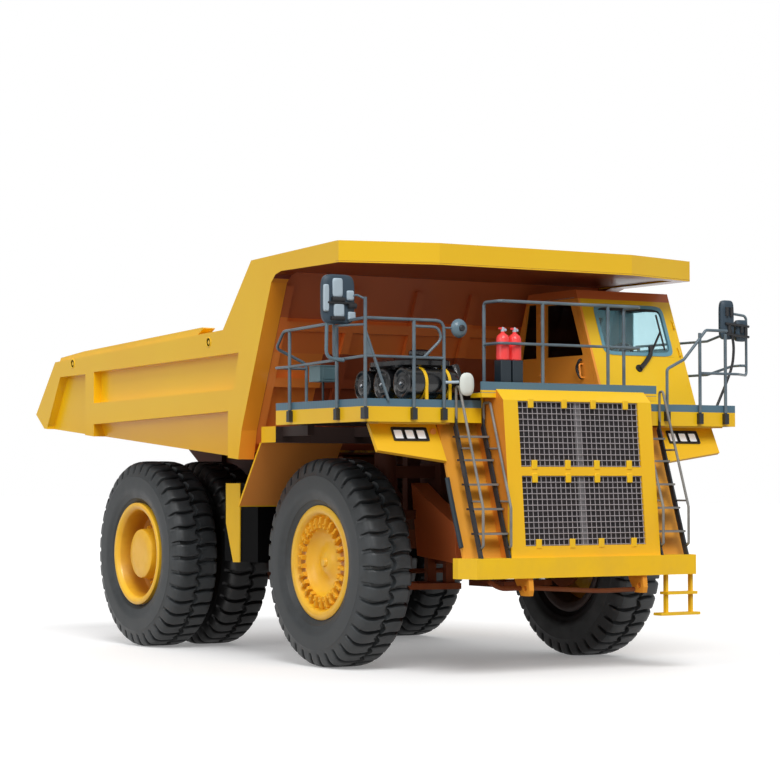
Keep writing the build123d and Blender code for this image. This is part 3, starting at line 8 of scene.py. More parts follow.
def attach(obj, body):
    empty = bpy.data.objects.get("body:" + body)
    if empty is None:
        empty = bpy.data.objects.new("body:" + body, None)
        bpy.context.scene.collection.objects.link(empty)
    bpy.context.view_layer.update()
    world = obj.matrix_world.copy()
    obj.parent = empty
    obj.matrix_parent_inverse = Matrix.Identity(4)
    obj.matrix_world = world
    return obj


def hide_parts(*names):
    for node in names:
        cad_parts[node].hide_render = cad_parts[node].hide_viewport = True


# Looks of the rigid mining dump truck, in metres.
# The truck faces -Y, +X is its left (cab) side, the ground is z = 0.
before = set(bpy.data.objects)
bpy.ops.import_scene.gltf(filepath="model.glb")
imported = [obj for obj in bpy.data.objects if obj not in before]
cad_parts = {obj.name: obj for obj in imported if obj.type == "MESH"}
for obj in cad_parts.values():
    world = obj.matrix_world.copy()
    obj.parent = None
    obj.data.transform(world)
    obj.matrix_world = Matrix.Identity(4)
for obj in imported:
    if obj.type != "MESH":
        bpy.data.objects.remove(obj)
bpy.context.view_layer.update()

# sizes and places that several pieces and finishes share
TYRE_R = 1.35
FRONT_Y, REAR_Y = -2.54, 2.41               # axles
FRONT_X, REAR_X = 1.98, (1.27, 2.13)        # middle planes of the tyres
FRONT_FACE, REAR_FACE = 2.28, 2.48          # outer faces of the wheels
DECK_Z, CENTRE_DECK_Z = 3.31, 3.49          # tops of the walkways
WALL_OUT = 2.776                            # outer faces of the body's sides
FLOOR_RISE = 0.084                          # of the load floor, per metre of length
SCREEN_LEAN = 0.395                         # of the windscreen's plane, back per metre of height
BOARD_LEAN = 0.4216                         # of the headboard and the body's front edges
FRONT = ((1, 0, 0), (0, 0, 1), (0, -1, 0))  # across, up, out towards the front
REAR = ((-1, 0, 0), (0, 0, 1), (0, 1, 0))
UP = ((1, 0, 0), (0, 1, 0), (0, 0, 1))


# ==== Shader maths
class Wire:
    """A socket's value. Arithmetic on it adds Math nodes to its tree."""

    def __init__(self, nodes, socket):
        self.nodes, self.socket = nodes, socket

    def _math(self, operation, a, b=0.0, clamp=False):
        return self.nodes.node("ShaderNodeMath", {"operation": operation, "use_clamp": clamp}, {0: a, 1: b})

    def __add__(self, other):
        return self._math("ADD", self, other)

    def __sub__(self, other):
        return self._math("SUBTRACT", self, other)

    def __rsub__(self, other):
        return self._math("SUBTRACT", other, self)

    def __mul__(self, other):
        return self._math("MULTIPLY", self, other)

    def __gt__(self, other):
        return self._math("GREATER_THAN", self, other)

    def __lt__(self, other):
        return self._math("LESS_THAN", self, other)

    __radd__ = __add__
    __rmul__ = __mul__

    def clamped(self):
        return self._math("ADD", self, 0, True)

    def abs(self):
        return self._math("ABSOLUTE", self)

    def root(self):
        return self._math("SQRT", self)

    def wave(self, pitch):
        """0 to 1 to 0 ramp that repeats every pitch."""
        return self._math("PINGPONG", self, pitch / 2) * (2 / pitch)


class Nodes:
    """A node tree and the one way of adding to it."""

    def __init__(self, tree):
        self.tree = tree

    def node(self, kind, settings=(), sockets=(), out=0):
        """Adds a node: its settings first, then its sockets' values or links."""
        made = self.tree.nodes.new(kind)
        for key, value in dict(settings).items():
            setattr(made, key, value)
        for key, value in dict(sockets).items():
            self.feed(made.inputs[key], value)
        return Wire(self, made.outputs[out])

    def feed(self, socket, value):
        """Links a wire to a socket or sets the socket's value."""
        if isinstance(value, Wire):
            self.tree.links.new(value.socket, socket)
        elif isinstance(value, tuple) and len(value) == 3 and socket.type == "RGBA":
            socket.default_value = (*value, 1.0)
        else:
            socket.default_value = value

    def rays(self, *kinds):
        """1 for rays of these kinds, 0 for the rest."""
        first, *others = (self.node("ShaderNodeLightPath", out=f"Is {kind} Ray") for kind in kinds)
        return sum(others, first).clamped()


class Finish(Nodes):
    """A material with one Principled shader, whose patterns lie on object coordinates."""

    slot = None     # the record's material slot that it stands for

    def __init__(self, name, colour, **sockets):
        self.material = bpy.data.materials.new(name)
        self.material.use_nodes = True
        super().__init__(self.material.node_tree)
        self.shader = self.tree.nodes["Principled BSDF"]
        self.coords = self.node("ShaderNodeTexCoord", out="Object")
        self.put(**{"Base Color": colour, **sockets})

    def put(self, **sockets):
        for key, value in sockets.items():
            self.feed(self.shader.inputs[key], value)

    def place(self):
        """Object coordinates as x, y, z."""
        return tuple(self.node("ShaderNodeSeparateXYZ", (), {0: self.coords}, axis) for axis in range(3))

    def noise(self, scale, detail=3.0, rough=0.55, stretch=(1, 1, 1), low=0.0, high=1.0):
        """Noise of the object coordinates, spread to 0..1 between low and high."""
        mapped = self.node("ShaderNodeMapping", (), {"Vector": self.coords, "Scale": stretch})
        found = self.node("ShaderNodeTexNoise", (), {"Vector": mapped, "Scale": scale, "Detail": detail,
                                                    "Roughness": rough})
        return self.node("ShaderNodeMapRange", {"clamp": True},
                         {"Value": found, "From Min": low, "From Max": high})

    def mix(self, share, a, b):
        """Colour a where share is 0, colour b where it is 1."""
        return self.node("ShaderNodeMix", {"data_type": "RGBA"}, {0: share, 6: a, 7: b}, 2)

    def bump(self, height, strength, distance):
        self.put(Normal=self.node("ShaderNodeBump", (), {"Height": height, "Strength": strength,
                                                        "Distance": distance}))


def srgb(r, g, b):
    """Linear colour of an 0..255 screen colour."""
    return tuple(c / 12.92 if c <= 0.04045 else ((c + 0.055) / 1.055) ** 2.4
                 for c in (r / 255, g / 255, b / 255))


YELLOW, DEEP_YELLOW = srgb(250, 203, 14), srgb(240, 172, 8)
# painted shade: orange for yellow enamel that lies in shade
SHADE_ORANGE, DEEP_SHADE_ORANGE = srgb(255, 164, 58), srgb(244, 146, 50)
# painted shade: brown for yellow enamel in deep shade
SHADE_BROWN, DEEP_SHADE_BROWN = srgb(138, 56, 28), srgb(104, 40, 22)
GREY_BLUE = srgb(96, 120, 132)
DUST = srgb(176, 140, 82)
BLACK = srgb(22, 23, 25)
DARK_GREY = srgb(52, 56, 60)
COAT = 0.25             # share of clear coat on enamel above the decks
DUST_TOP = 2.6          # height that dust reaches
DULL_TOP = 3.5          # height below which enamel dulls and deepens
EVERYWHERE = 1.0


def paint(name, colour, deep, dust=0.35, rough=0.34, zones=None):
    """Sprayed enamel: slow tone change, fine orange peel, dust that thickens towards the wheels. Enamel of
    one tone is speckled in its gloss. Enamel with zones deepens low down instead, and each zone gives the
    mask where another colour lies, that colour and the deeper one that it varies to; most zones hold
    painted shade and painted light."""
    f = Finish(name, colour, **{"Coat Weight": COAT, "Coat Roughness": 0.12})
    x, y, z = f.place()
    tone = f.noise(0.7, 2.0, low=0.3, high=0.7)
    film = (f.noise(2.2, 5.0, low=0.42, high=0.72) * ((DUST_TOP - z) * 0.4).clamped() * dust).clamped()
    low = ((DULL_TOP - z) * 1.4).clamped()
    shade, gloss = tone * 0.22, rough + film * 0.4
    if zones:
        base = f.mix(shade + low * 0.3, colour, deep)
        for mask, other, other_deep in zones(x, y, z):
            base = f.mix(mask, base, f.mix(tone * 0.5, other, other_deep))
    else:
        base = f.mix(shade, colour, deep)
        gloss = gloss + f.noise(38.0, 4.0, low=0.35, high=0.75) * 0.06
    f.put(**{"Base Color": f.mix(film, base, DUST), "Roughness": gloss + low * 0.2,
             "Coat Weight": COAT - low * 0.22})
    f.bump(f.noise(160.0, 2.0), 0.04, 0.002)
    return f


def zoned(name, zones, rough=0.34, dust=0.3):
    """Yellow enamel with other colours in some places, mostly painted shade and painted light."""
    return paint(name, YELLOW, DEEP_YELLOW, dust, rough, zones)


yellow = paint("yellow_paint", YELLOW, DEEP_YELLOW)
clamp_yellow = paint("yellow_paint_clamps", srgb(248, 186, 34), srgb(236, 160, 28), dust=0.1, rough=0.4)
orange_paint = paint("yellow_paint_hooks", srgb(240, 160, 40), srgb(220, 136, 34), dust=0.1, rough=0.5)
# painted shade: brown for yellow steel in shade, on the line between the tow hooks
frame_shade_brown = paint("yellow_paint_frame_shade", srgb(124, 60, 24), srgb(92, 44, 20), dust=0.2, rough=0.6)
grey_blue = paint("grey_blue_paint", srgb(94, 120, 134), srgb(78, 102, 118), dust=0.1, rough=0.4)
box_paint = paint("grey_blue_box", srgb(92, 122, 130), srgb(66, 92, 102), dust=0.0, rough=0.4)
red_paint = paint("red_paint", srgb(255, 72, 72), srgb(246, 58, 60), dust=0.0, rough=0.3)
stand_paint = paint("grey_blue_dark", srgb(20, 36, 46), srgb(14, 28, 38), dust=0.0, rough=0.4)
# painted shade: orange for the yellow horn plates in shade
horn_shade_paint = paint("yellow_paint_horns_shade", srgb(222, 114, 56), srgb(190, 92, 44), dust=0.0, rough=0.6)
galvanised = paint("wire_mesh", srgb(176, 170, 174), srgb(140, 136, 142), dust=0.1, rough=0.4)


def ahead(y, z):
    """1 on the headboard's front face and below the canopy, where shade is painted; 0 behind them."""
    return y + z * 0.446 < 0.1496


# Painted shade and painted light on faces between a sub-part's outer planes: painted shade on the cab's
# inner side and its roof, with the room within its shell pale blue; painted shade on the inner faces of the
# body's walls and of their front posts, up to the canopy; painted shade and light on the headboard's front
# panels.
ROOF_FOOT, CANOPY_FOOT, LOW_PANEL = 4.85, 5.05, 4.1
# painted shade: orange on the cab's inner side, brown-orange on its roof; the room within its shell pale blue
cab_paint = zoned("yellow_paint_cab", lambda x, y, z: (
    (x < 1.245, SHADE_ORANGE, DEEP_SHADE_ORANGE),
    (z > ROOF_FOOT, srgb(216, 112, 52), srgb(200, 98, 46)),
    ((x > 1.266) * (x < 2.714) * (z < 4.916) * (y - (z - DECK_Z) * SCREEN_LEAN > -4.03) * (y < -2.05),
     srgb(214, 244, 250), srgb(196, 232, 240))))
# painted shade: brown on the canopy's underside
canopy_paint = zoned("yellow_paint_canopy", lambda x, y, z: (
    (((z - 5.121).abs() - 0.01).abs() < 0.002, SHADE_BROWN, DEEP_SHADE_BROWN),))
# painted shade: deeper yellow on the lower outer panels, orange on the front posts' front faces, brown-orange
# on the walls' inner faces near the front, brown just below the canopy
wall_paint = zoned("yellow_paint_walls", lambda x, y, z: (
    ((x.abs() > 2.56) * (x.abs() < WALL_OUT) * (z < 3.53) * (y < 3.4),
     srgb(250, 190, 0), srgb(240, 176, 0)),
    ((x.abs() < WALL_OUT) * (y + z * BOARD_LEAN < -0.07) * (z < CANOPY_FOOT),
     srgb(255, 164, 38), srgb(236, 142, 34)),
    ((x.abs() < 2.545) * (y + z * BOARD_LEAN < 0.03) * (z < CANOPY_FOOT),
     srgb(190, 96, 40), srgb(170, 80, 36)),
    ((x.abs() < WALL_OUT) * (z > 5.03) * (z < 5.113) * ahead(y, z), SHADE_BROWN, DEEP_SHADE_BROWN)))
# painted shade on the headboard's front, painted light in a brighter band below 4.55 and on the low panels
# beyond 1.72 from the middle, darker painted shade on the low middle panel
board_paint = zoned("yellow_paint_headboard", lambda x, y, z: (
    (ahead(y, z), srgb(206, 104, 48), srgb(172, 80, 38)),
    (ahead(y, z) * (z < 4.55), srgb(250, 134, 54), srgb(224, 114, 46)),
    (ahead(y, z) * (z < LOW_PANEL) * (x.abs() < 1.72), srgb(170, 80, 40), srgb(140, 62, 32)),
    (ahead(y, z) * (z < LOW_PANEL) * (x.abs() > 1.72), srgb(255, 150, 60), srgb(240, 130, 50))), rough=0.5)
# painted shade: the frame and the parts below the body brown, darker above 1.75
frame_paint = zoned("yellow_paint_frame_shade", lambda x, y, z: (
    (EVERYWHERE, srgb(150, 70, 28), srgb(112, 52, 22)),
    (z > 1.75, srgb(84, 38, 20), srgb(58, 28, 16))), rough=0.6)
# painted shade: the deck beams near-black brown, yellow only at their outer ends
beam_shade = zoned("yellow_paint_beams_shade", lambda x, y, z: (
    (EVERYWHERE, srgb(40, 18, 12), srgb(26, 14, 10)),
    ((x.abs() > 2.596) * (y > -2.02), YELLOW, DEEP_YELLOW)), rough=0.6)
# painted shade: orange on the guards' inner, upper part
guard_paint = zoned("yellow_paint_guard", lambda x, y, z: (
    ((x.abs() < 2.597) * (z > 2.075), srgb(255, 172, 80), srgb(250, 152, 68)),), rough=0.5, dust=0.1)
# painted shade: orange on the housing's sides
house_paint = zoned("yellow_paint_house", lambda x, y, z: (
    ((x.abs() > 1.147) * (y > -5.2), srgb(226, 140, 40), srgb(206, 120, 34)),))
# painted shade: orange on the fender panels behind the ladders, nearer the middle than 1.712
panel_paint = zoned("yellow_paint_panels", lambda x, y, z: (
    (x.abs() < 1.712, srgb(232, 160, 44), srgb(216, 140, 36)),))


def rail_paint():
    """Grey-blue tube whose post sockets below the deck's edge are near black."""
    f = Finish("rail_paint", GREY_BLUE, **{"Coat Weight": 0.2, "Coat Roughness": 0.15})
    x, y, z = f.place()
    tone = f.noise(3.0, 3.0, low=0.3, high=0.7)
    pipe = f.mix(tone, srgb(104, 122, 132), srgb(78, 94, 106))
    f.put(**{"Base Color": f.mix(z < 3.3, pipe, srgb(30, 34, 40)), "Roughness": 0.38 + tone * 0.1})
    f.bump(f.noise(150.0, 2.0), 0.05, 0.002)
    return f


def ladder_paint():
    """Near-black stringers and treads; the hand bars that stand ahead of them are light grey."""
    f = Finish("ladder_paint", DARK_GREY)
    x, y, z = f.place()
    stands_ahead = (y + 5.33 - (z - 1.46) * 0.345) < 0.0
    tone = f.noise(4.0, 3.0, low=0.3, high=0.7)
    steel = f.mix(tone, srgb(44, 52, 60), srgb(30, 34, 40))
    bar = f.mix(tone, srgb(140, 138, 132), srgb(112, 112, 110))
    f.put(**{"Base Color": f.mix(stands_ahead, steel, bar), "Roughness": 0.45 + tone * 0.1})
    f.bump(f.noise(150.0, 2.0), 0.05, 0.002)
    return f


def wheel_paint(name, axle_y, hidden_x, ring, width):
    """Wheel enamel by distance from the axle: a deeper tone within a width of a ring, painted shade with more
    dirt in the recess round the clamps, and the side that faces the frame, nearer the middle than hidden_x,
    dark with road dirt and painted shade."""
    f = Finish(name, YELLOW, **{"Coat Weight": 0.2, "Coat Roughness": 0.15})
    x, y, z = f.place()
    dy, dz = y - axle_y, z - TYRE_R
    r = (dy * dy + dz * dz).root()
    tone = f.noise(1.5, 3.0, low=0.3, high=0.7)
    recess = ((width - (r - ring).abs()) * 40).clamped()
    hidden = (x.abs() < hidden_x).clamped()
    dirt = (f.noise(7.0, 6.0, low=0.45, high=0.7) * (0.25 + recess * 0.5)).clamped()
    lit = f.mix(tone * 0.5, srgb(255, 202, 44), srgb(250, 184, 30))
    # painted shade in the recess round the clamps
    lit = f.mix(recess * 0.75, lit, srgb(150, 76, 20))
    lit = f.mix(dirt * 0.35, lit, srgb(170, 96, 26))
    # the side facing the frame: dark road dirt and painted shade
    f.put(**{"Base Color": f.mix(hidden, lit, srgb(48, 26, 18)),
             "Roughness": 0.36 + dirt * 0.4 + hidden * 0.3})
    f.bump(f.noise(120.0, 2.0), 0.06, 0.002)
    return f


def deck_paint(name, top, split):
    """Grey-blue walkway whose plate edge and toe board stay grey-blue; the fascia below the split height
    is yellow outside and near black inside, painted shade under the walkway."""
    f = Finish(name, GREY_BLUE, **{"Coat Weight": 0.2, "Coat Roughness": 0.15})
    x, y, z = f.place()
    below = (z < split) * ((z - top).abs() > 0.003)
    tone = f.noise(0.8, 2.0, low=0.3, high=0.7)
    grip = ((x.wave(0.06) > 0.78) + (y.wave(0.06) > 0.78)).clamped() * (z > top - 0.004)
    walk = f.mix(tone * 0.4, srgb(86, 121, 139), srgb(66, 95, 115))
    lower = f.mix(tone * 0.25, YELLOW, DEEP_YELLOW)
    # painted shade: near black on the inner faces below the walkway
    lower = f.mix((x.abs() < 2.862) * (y > -4.69), lower, srgb(30, 16, 12))
    f.put(**{"Base Color": f.mix(below, walk, lower), "Roughness": 0.4 + grip * 0.2})
    f.bump(f.noise(150.0, 2.0) * 0.04 + grip, 0.25, 0.003)
    return f


side_deck_paint = deck_paint("side_deck_paint", DECK_Z, 3.305)
centre_deck_paint = deck_paint("centre_deck_paint", CENTRE_DECK_Z, 3.52)
rails, ladder = rail_paint(), ladder_paint()
front_wheel = wheel_paint("front_wheel_paint", FRONT_Y, 1.96, 0.522, 0.072)
rear_wheel = wheel_paint("rear_wheel_paint", REAR_Y, 1.6, 0.51, 0.125)

FLOOR_UNDER = 2.891     # height of the load floor's middle layer at y = 0


def tray_steel():
    """Inside of the tray: paint rubbed through to grey steel in long scratches and dusty patches. Below the
    load floor's middle layer, brown painted shade.
    """
    f = Finish("tray_steel", YELLOW)
    x, y, z = f.place()
    inside = (x.abs() < 2.552) * (y > -1.9)
    rub = f.noise(3.0, 8.0, 0.7, (1, 0.12, 1), 0.44, 0.6)
    scratch = f.noise(26.0, 6.0, 0.7, (1, 0.05, 1), 0.5, 0.64)
    bare = ((rub + scratch * 0.5).clamped() * inside).clamped()
    tone = f.noise(0.7, 2.0, low=0.3, high=0.7)
    base = f.mix(tone * 0.22, YELLOW, DEEP_YELLOW)
    steel = f.mix(f.noise(5.0, 6.0), srgb(126, 116, 104), srgb(92, 84, 76))
    worn = f.mix(bare, base, steel)
    # painted shade: brown on the underside of the load floor
    worn = f.mix(z - y * FLOOR_RISE < FLOOR_UNDER, worn, srgb(116, 56, 26))
    f.put(**{"Base Color": worn, "Roughness": 0.34 + bare * 0.32, "Metallic": bare * 0.35,
             "Coat Weight": 0.2 - bare * 0.2})
    f.bump(f.noise(160.0, 2.0) * 0.2 + scratch * inside, 0.08, 0.003)
    return f


def rubber():
    """Tyre rubber: matt, dusty in the tread, near black nearer the middle than 1.72: painted shade on the
    inner tyres and the front tyres' inner side walls.
    """
    f = Finish("tyre_rubber", srgb(60, 62, 64))
    x, y, z = f.place()
    mottle = f.noise(6.0, 6.0, low=0.3, high=0.75)
    grain = f.noise(220.0, 3.0)
    outside = f.mix(mottle, srgb(40, 44, 46), srgb(58, 62, 65))
    # painted shade: near black nearer the middle than 1.72
    f.put(**{"Base Color": f.mix(x.abs() < 1.72, outside, srgb(18, 18, 19)), "Roughness": 0.4 + mottle * 0.2})
    f.bump(grain * 0.4 + mottle, 0.2, 0.003)
    return f


def bright_steel():
    """Polished rod steel with faint upright smears."""
    colour = srgb(190, 192, 196)
    f = Finish("bright_steel", colour, Metallic=1.0)
    smear = f.noise(40.0, 5.0, stretch=(1, 1, 0.1), low=0.3, high=0.8)
    f.put(**{"Base Color": f.mix(smear * 0.3, colour, tuple(c * 0.6 for c in colour)),
             "Roughness": 0.18 + smear * 0.15})
    f.bump(f.noise(300.0, 2.0), 0.05, 0.001)
    return f


def gloss_black():
    """Deep gloss black with a faint, slow change of tone."""
    f = Finish("black_paint", BLACK, **{"Coat Weight": 0.5, "Coat Roughness": 0.08})
    tone = f.noise(3.0, 4.0, low=0.3, high=0.75)
    f.put(**{"Base Color": f.mix(tone, srgb(12, 12, 14), srgb(22, 23, 26)), "Roughness": 0.22 + tone * 0.1})
    return f


def cast_iron():
    """Dark cast iron with patches of rust."""
    f = Finish("cast_steel", srgb(74, 60, 50))
    rust = f.noise(9.0, 8.0, 0.65, low=0.4, high=0.7)
    f.put(**{"Base Color": f.mix(rust, srgb(58, 50, 46), srgb(106, 72, 50)), "Roughness": 0.7 + rust * 0.15})
    f.bump(f.noise(90.0, 5.0), 0.3, 0.003)
    return f


def glass():
    """Window glass with a faint film of dust, clear in front and near black in the door's side, as painted
    shade.
    """
    f = Finish("window_glass", srgb(120, 168, 172), **{"Transmission Weight": 0.95, "IOR": 1.2,
                                                       "Roughness": 0.03})
    x, y, z = f.place()
    film = f.noise(5.0, 5.0, low=0.45, high=0.8)
    clear = f.mix(film * 0.25, srgb(226, 249, 253), srgb(206, 234, 240))
    # painted shade: near black glass in the door's side
    f.put(**{"Base Color": f.mix(x < 1.3, clear, srgb(26, 28, 32)), "Roughness": 0.02 + film * 0.06})
    return f


def lens():
    """Clear lamp lens with pressed flutes."""
    f = Finish("lamp_lens", srgb(232, 236, 238), **{"Coat Weight": 0.8, "Coat Roughness": 0.03})
    x, y, z = f.place()
    flutes = x.wave(0.014)
    f.put(**{"Base Color": f.mix(flutes * 0.5, srgb(255, 255, 255), srgb(222, 230, 236)),
             "Roughness": 0.12 + flutes * 0.1, "Emission Color": (0.9, 0.95, 1.0), "Emission Strength": 0.25})
    f.bump(flutes + z.wave(0.02) * 0.5, 0.3, 0.002)
    return f


def mirror_glass():
    """Silvered glass with a faint film."""
    f = Finish("mirror_glass", srgb(214, 222, 226), Metallic=1.0)
    film = f.noise(8.0, 4.0, low=0.4, high=0.8)
    f.put(Roughness=0.04 + film * 0.08)
    return f


def core():
    """Radiator core: rows of flat tubes with fine fins, a pale gap strip in the middle."""
    f = Finish("radiator_core", srgb(30, 28, 30))
    x, y, z = f.place()
    tubes, fins = z.wave(0.024), x.wave(0.006)
    middle = x.abs() < 0.055
    dirt = f.noise(4.0, 5.0, low=0.35, high=0.75)
    fin = f.mix(dirt, srgb(34, 30, 34), srgb(62, 56, 56))
    f.put(**{"Base Color": f.mix(middle, f.mix(tubes * 0.5, fin, srgb(20, 18, 20)), srgb(120, 118, 120)),
             "Roughness": 0.6 + dirt * 0.2, "Metallic": 0.3})
    f.bump(tubes + fins * 0.3, 0.6, 0.006)
    return f


def moulded(name, colour, **sockets):
    """Moulded plastic or rubber with a fine grain."""
    f = Finish(name, colour, Roughness=0.5, **sockets)
    grain = f.noise(260.0, 3.0)
    f.put(**{"Base Color": f.mix(f.noise(3.0, 3.0) * 0.3, colour, tuple(c * 1.6 + 0.01 for c in colour)),
             "Roughness": 0.45 + grain * 0.15})
    f.bump(grain, 0.2, 0.001)
    return f


def weave():
    """Woven seat cloth: two crossing threads, read from object coordinates."""
    f = Finish("seat_fabric", srgb(40, 42, 46), **{"Sheen Weight": 0.3})
    x, y, z = f.place()
    across, along = x.wave(0.006), (y + z).wave(0.006)
    f.put(**{"Base Color": f.mix(across * along, srgb(30, 32, 36), srgb(66, 70, 76)),
             "Roughness": 0.85 + across * 0.1})
    f.bump(across + along, 0.5, 0.001)
    return f


tray, tyre_rubber, fabric, fins = tray_steel(), rubber(), weave(), core()
iron, black_paint, bright = cast_iron(), gloss_black(), bright_steel()
window, lamp, mirror = glass(), lens(), mirror_glass()
plastic = moulded("dark_plastic", srgb(30, 31, 34))
# painted shade: the tanks near black where they stand in shade
tank_shade_black = moulded("tank_shade_black", srgb(3, 3, 4), IOR=1.1)
seal = moulded("window_seal", srgb(18, 18, 19))
mirror_back = moulded("mirror_back", srgb(44, 62, 76))
pale_plastic = moulded("pale_plastic", srgb(168, 186, 198))
white_plastic = moulded("white_plastic", srgb(216, 222, 216))
amber = moulded("amber_lens", srgb(232, 150, 60))
teal_seal = moulded("teal_seal", srgb(98, 148, 164))
teal_lining = moulded("teal_lining", srgb(150, 206, 218))

# finishes that stand for each of the record's material slots
SLOTS = {
    "yellow_paint": (yellow, clamp_yellow, frame_shade_brown, horn_shade_paint, front_wheel, rear_wheel, tray),
    "grey_blue_paint": (grey_blue, box_paint, stand_paint, rails),
    "red_paint": (red_paint,),
    "black_paint": (black_paint,),
    "bright_steel": (bright,),
    "wire_mesh": (galvanised,),
    "dark_plastic": (plastic, teal_lining),
    "lamp_lens": (lamp, amber),
    "tyre_rubber": (tyre_rubber,),
    "seat_fabric": (fabric,),
}
for slot, finishes in SLOTS.items():
    for finish in finishes:
        finish.slot = slot

# finish of each CAD node
FINISHES = {
    yellow: "front_bumper lower_step",
    canopy_paint: "canopy",
    wall_paint: "body_side_left body_side_right",
    cab_paint: "cab_shell cab_door",
    house_paint: "radiator_housing",
    panel_paint: "fenders",
    orange_paint: "tow_hooks",
    board_paint: "headboard",
    guard_paint: "wheel_guards",
    beam_shade: "deck_beams",
    frame_paint: "body_sills main_frame front_lower_arms rear_axle_housing knuckle_left knuckle_right "
                 "tie_rod hoist_barrels",
    tray: "body_floor",
    rails: "handrail_centre handrail_left handrail_right",
    front_wheel: "front_rim_left front_rim_right",
    rear_wheel: "rear_rims_left rear_rims_right",
    grey_blue: "control_box mirrors",
    side_deck_paint: "side_decks",
    centre_deck_paint: "centre_deck",
    ladder: "ladders",
    black_paint: "air_cleaners",
    tank_shade_black: "fuel_tank hydraulic_tank",
    red_paint: "fire_extinguishers",
    tyre_rubber: "front_tyre_left front_tyre_right rear_tyres_left rear_tyres_right",
    bright: "suspension_struts hoist_stages hoist_rods",
    iron: "powertrain",
    window: "cab_glass door_glass",
    lamp: "headlamps",
    galvanised: "grille_screens",
    fins: "radiator_core",
    plastic: "dashboard",
    fabric: "operator_seat",
}
for finish, names in FINISHES.items():
    for name in names.split():
        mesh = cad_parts[name].data
        mesh.materials.clear()
        mesh.materials.append(finish.material)


# ==== Surfaces
BOX_CORNERS = ((0, 0, 0), (1, 0, 0), (1, 1, 0), (0, 1, 0), (0, 0, 1), (1, 0, 1), (1, 1, 1), (0, 1, 1))
BOX_FACES = [[0, 3, 2, 1], [4, 5, 6, 7], [0, 1, 5, 4], [1, 2, 6, 5], [2, 3, 7, 6], [3, 0, 4, 7]]


def grid(points, wrap_u=False, wrap_v=False):
    """Quads over a (u, v, 3) array of points, joined round where a direction wraps."""
    nu, nv = points.shape[:2]
    index = np.arange(nu * nv).reshape(nu, nv)
    if wrap_u:
        index = np.vstack([index, index[:1]])
    if wrap_v:
        index = np.hstack([index, index[:, :1]])
    quads = np.stack([index[:-1, :-1], index[1:, :-1], index[1:, 1:], index[:-1, 1:]], -1)
    return points.reshape(-1, 3), quads.reshape(-1, 4).tolist()


def join(shapes):
    """One list of points and faces from several."""
    points, faces, count = [], [], 0
    for some_points, some_faces in shapes:
        points.append(np.asarray(some_points, float))
        faces += [[i + count for i in face] for face in some_faces]
        count += len(some_points)
    return np.concatenate(points), faces


def piece(name, shape, finish, stands_for=(), body="chassis", sharp=35, bevel=0.0):
    """A finished mesh object that rides on a body, with its normals outwards. Shapes in a list are joined."""
    points, faces = join(shape) if isinstance(shape, list) else shape
    mesh = bpy.data.meshes.new(name)
    mesh.from_pydata(points.tolist(), [], faces)
    mesh.validate()
    work = bmesh.new()
    work.from_mesh(mesh)
    bmesh.ops.remove_doubles(work, verts=work.verts, dist=1e-6)
    bmesh.ops.recalc_face_normals(work, faces=work.faces)
    work.to_mesh(mesh)
    work.free()
    obj = bpy.data.objects.new(name, mesh)
    bpy.context.scene.collection.objects.link(obj)
    mesh.materials.append(finish.material)
    mesh.polygons.foreach_set("use_smooth", np.ones(len(mesh.polygons), bool))
    mesh.set_sharp_from_angle(angle=math.radians(sharp))
    if bevel:
        chamfer = obj.modifiers.new("edge", "BEVEL")
        chamfer.width, chamfer.segments, chamfer.limit_method = bevel, 2, "ANGLE"
    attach(obj, body)
    if stands_for:
        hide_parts(*stands_for)
    return obj


def capped(rings):
    """Skin over rings of points, closed at both ends."""
    count = rings.shape[1]
    points, faces = grid(rings, wrap_v=True)
    last = len(points) - count
    return points, faces + [list(range(count))[::-1], list(range(last, last + count))]


def tube(points, radius, sides=8):
    """Circle carried along a path of points, closed at both ends. Each ring lies across the mean of its two
    neighbouring legs, turned from an up vector that stays the same; repeated points are dropped."""
    p = np.asarray(points, float)
    p = p[np.append(True, np.linalg.norm(np.diff(p, axis=0), axis=1) > 1e-5)]
    leg = np.diff(p, axis=0)
    leg /= np.linalg.norm(leg, axis=1)[:, None]
    along = np.vstack([leg[:1], (leg[:-1] + leg[1:]) / 2, leg[-1:]])
    along /= np.linalg.norm(along, axis=1)[:, None]
    upright = abs(along[0, 2]) > 0.9
    side = np.cross(along, (0.9, 0.35, 0.1) if upright else (0.31, 0.22, 0.93))
    side /= np.linalg.norm(side, axis=1)[:, None]
    over = np.cross(side, along)
    a = np.linspace(0, 2 * np.pi, sides, endpoint=False)[::-1, None]
    return capped(p[:, None] + radius * (np.cos(a) * side[:, None] + np.sin(a) * over[:, None]))


def rounded(points, radius, steps=4):
    """Path through the corners with each one rounded: a quadratic curve between the two points at
    radius from the corner."""
    corners = [np.asarray(point, float) for point in points]
    path = [corners[0]]
    t = np.linspace(0, 1, steps + 1)[:, None]
    for before, corner, after in zip(corners, corners[1:], corners[2:]):
        near, far = before - corner, after - corner
        r = min(radius, np.linalg.norm(near) / 2, np.linalg.norm(far) / 2)
        start, end = corner + near / np.linalg.norm(near) * r, corner + far / np.linalg.norm(far) * r
        path += list((1 - t) ** 2 * start + 2 * t * (1 - t) * corner + t * t * end)
    return path + [corners[-1]]


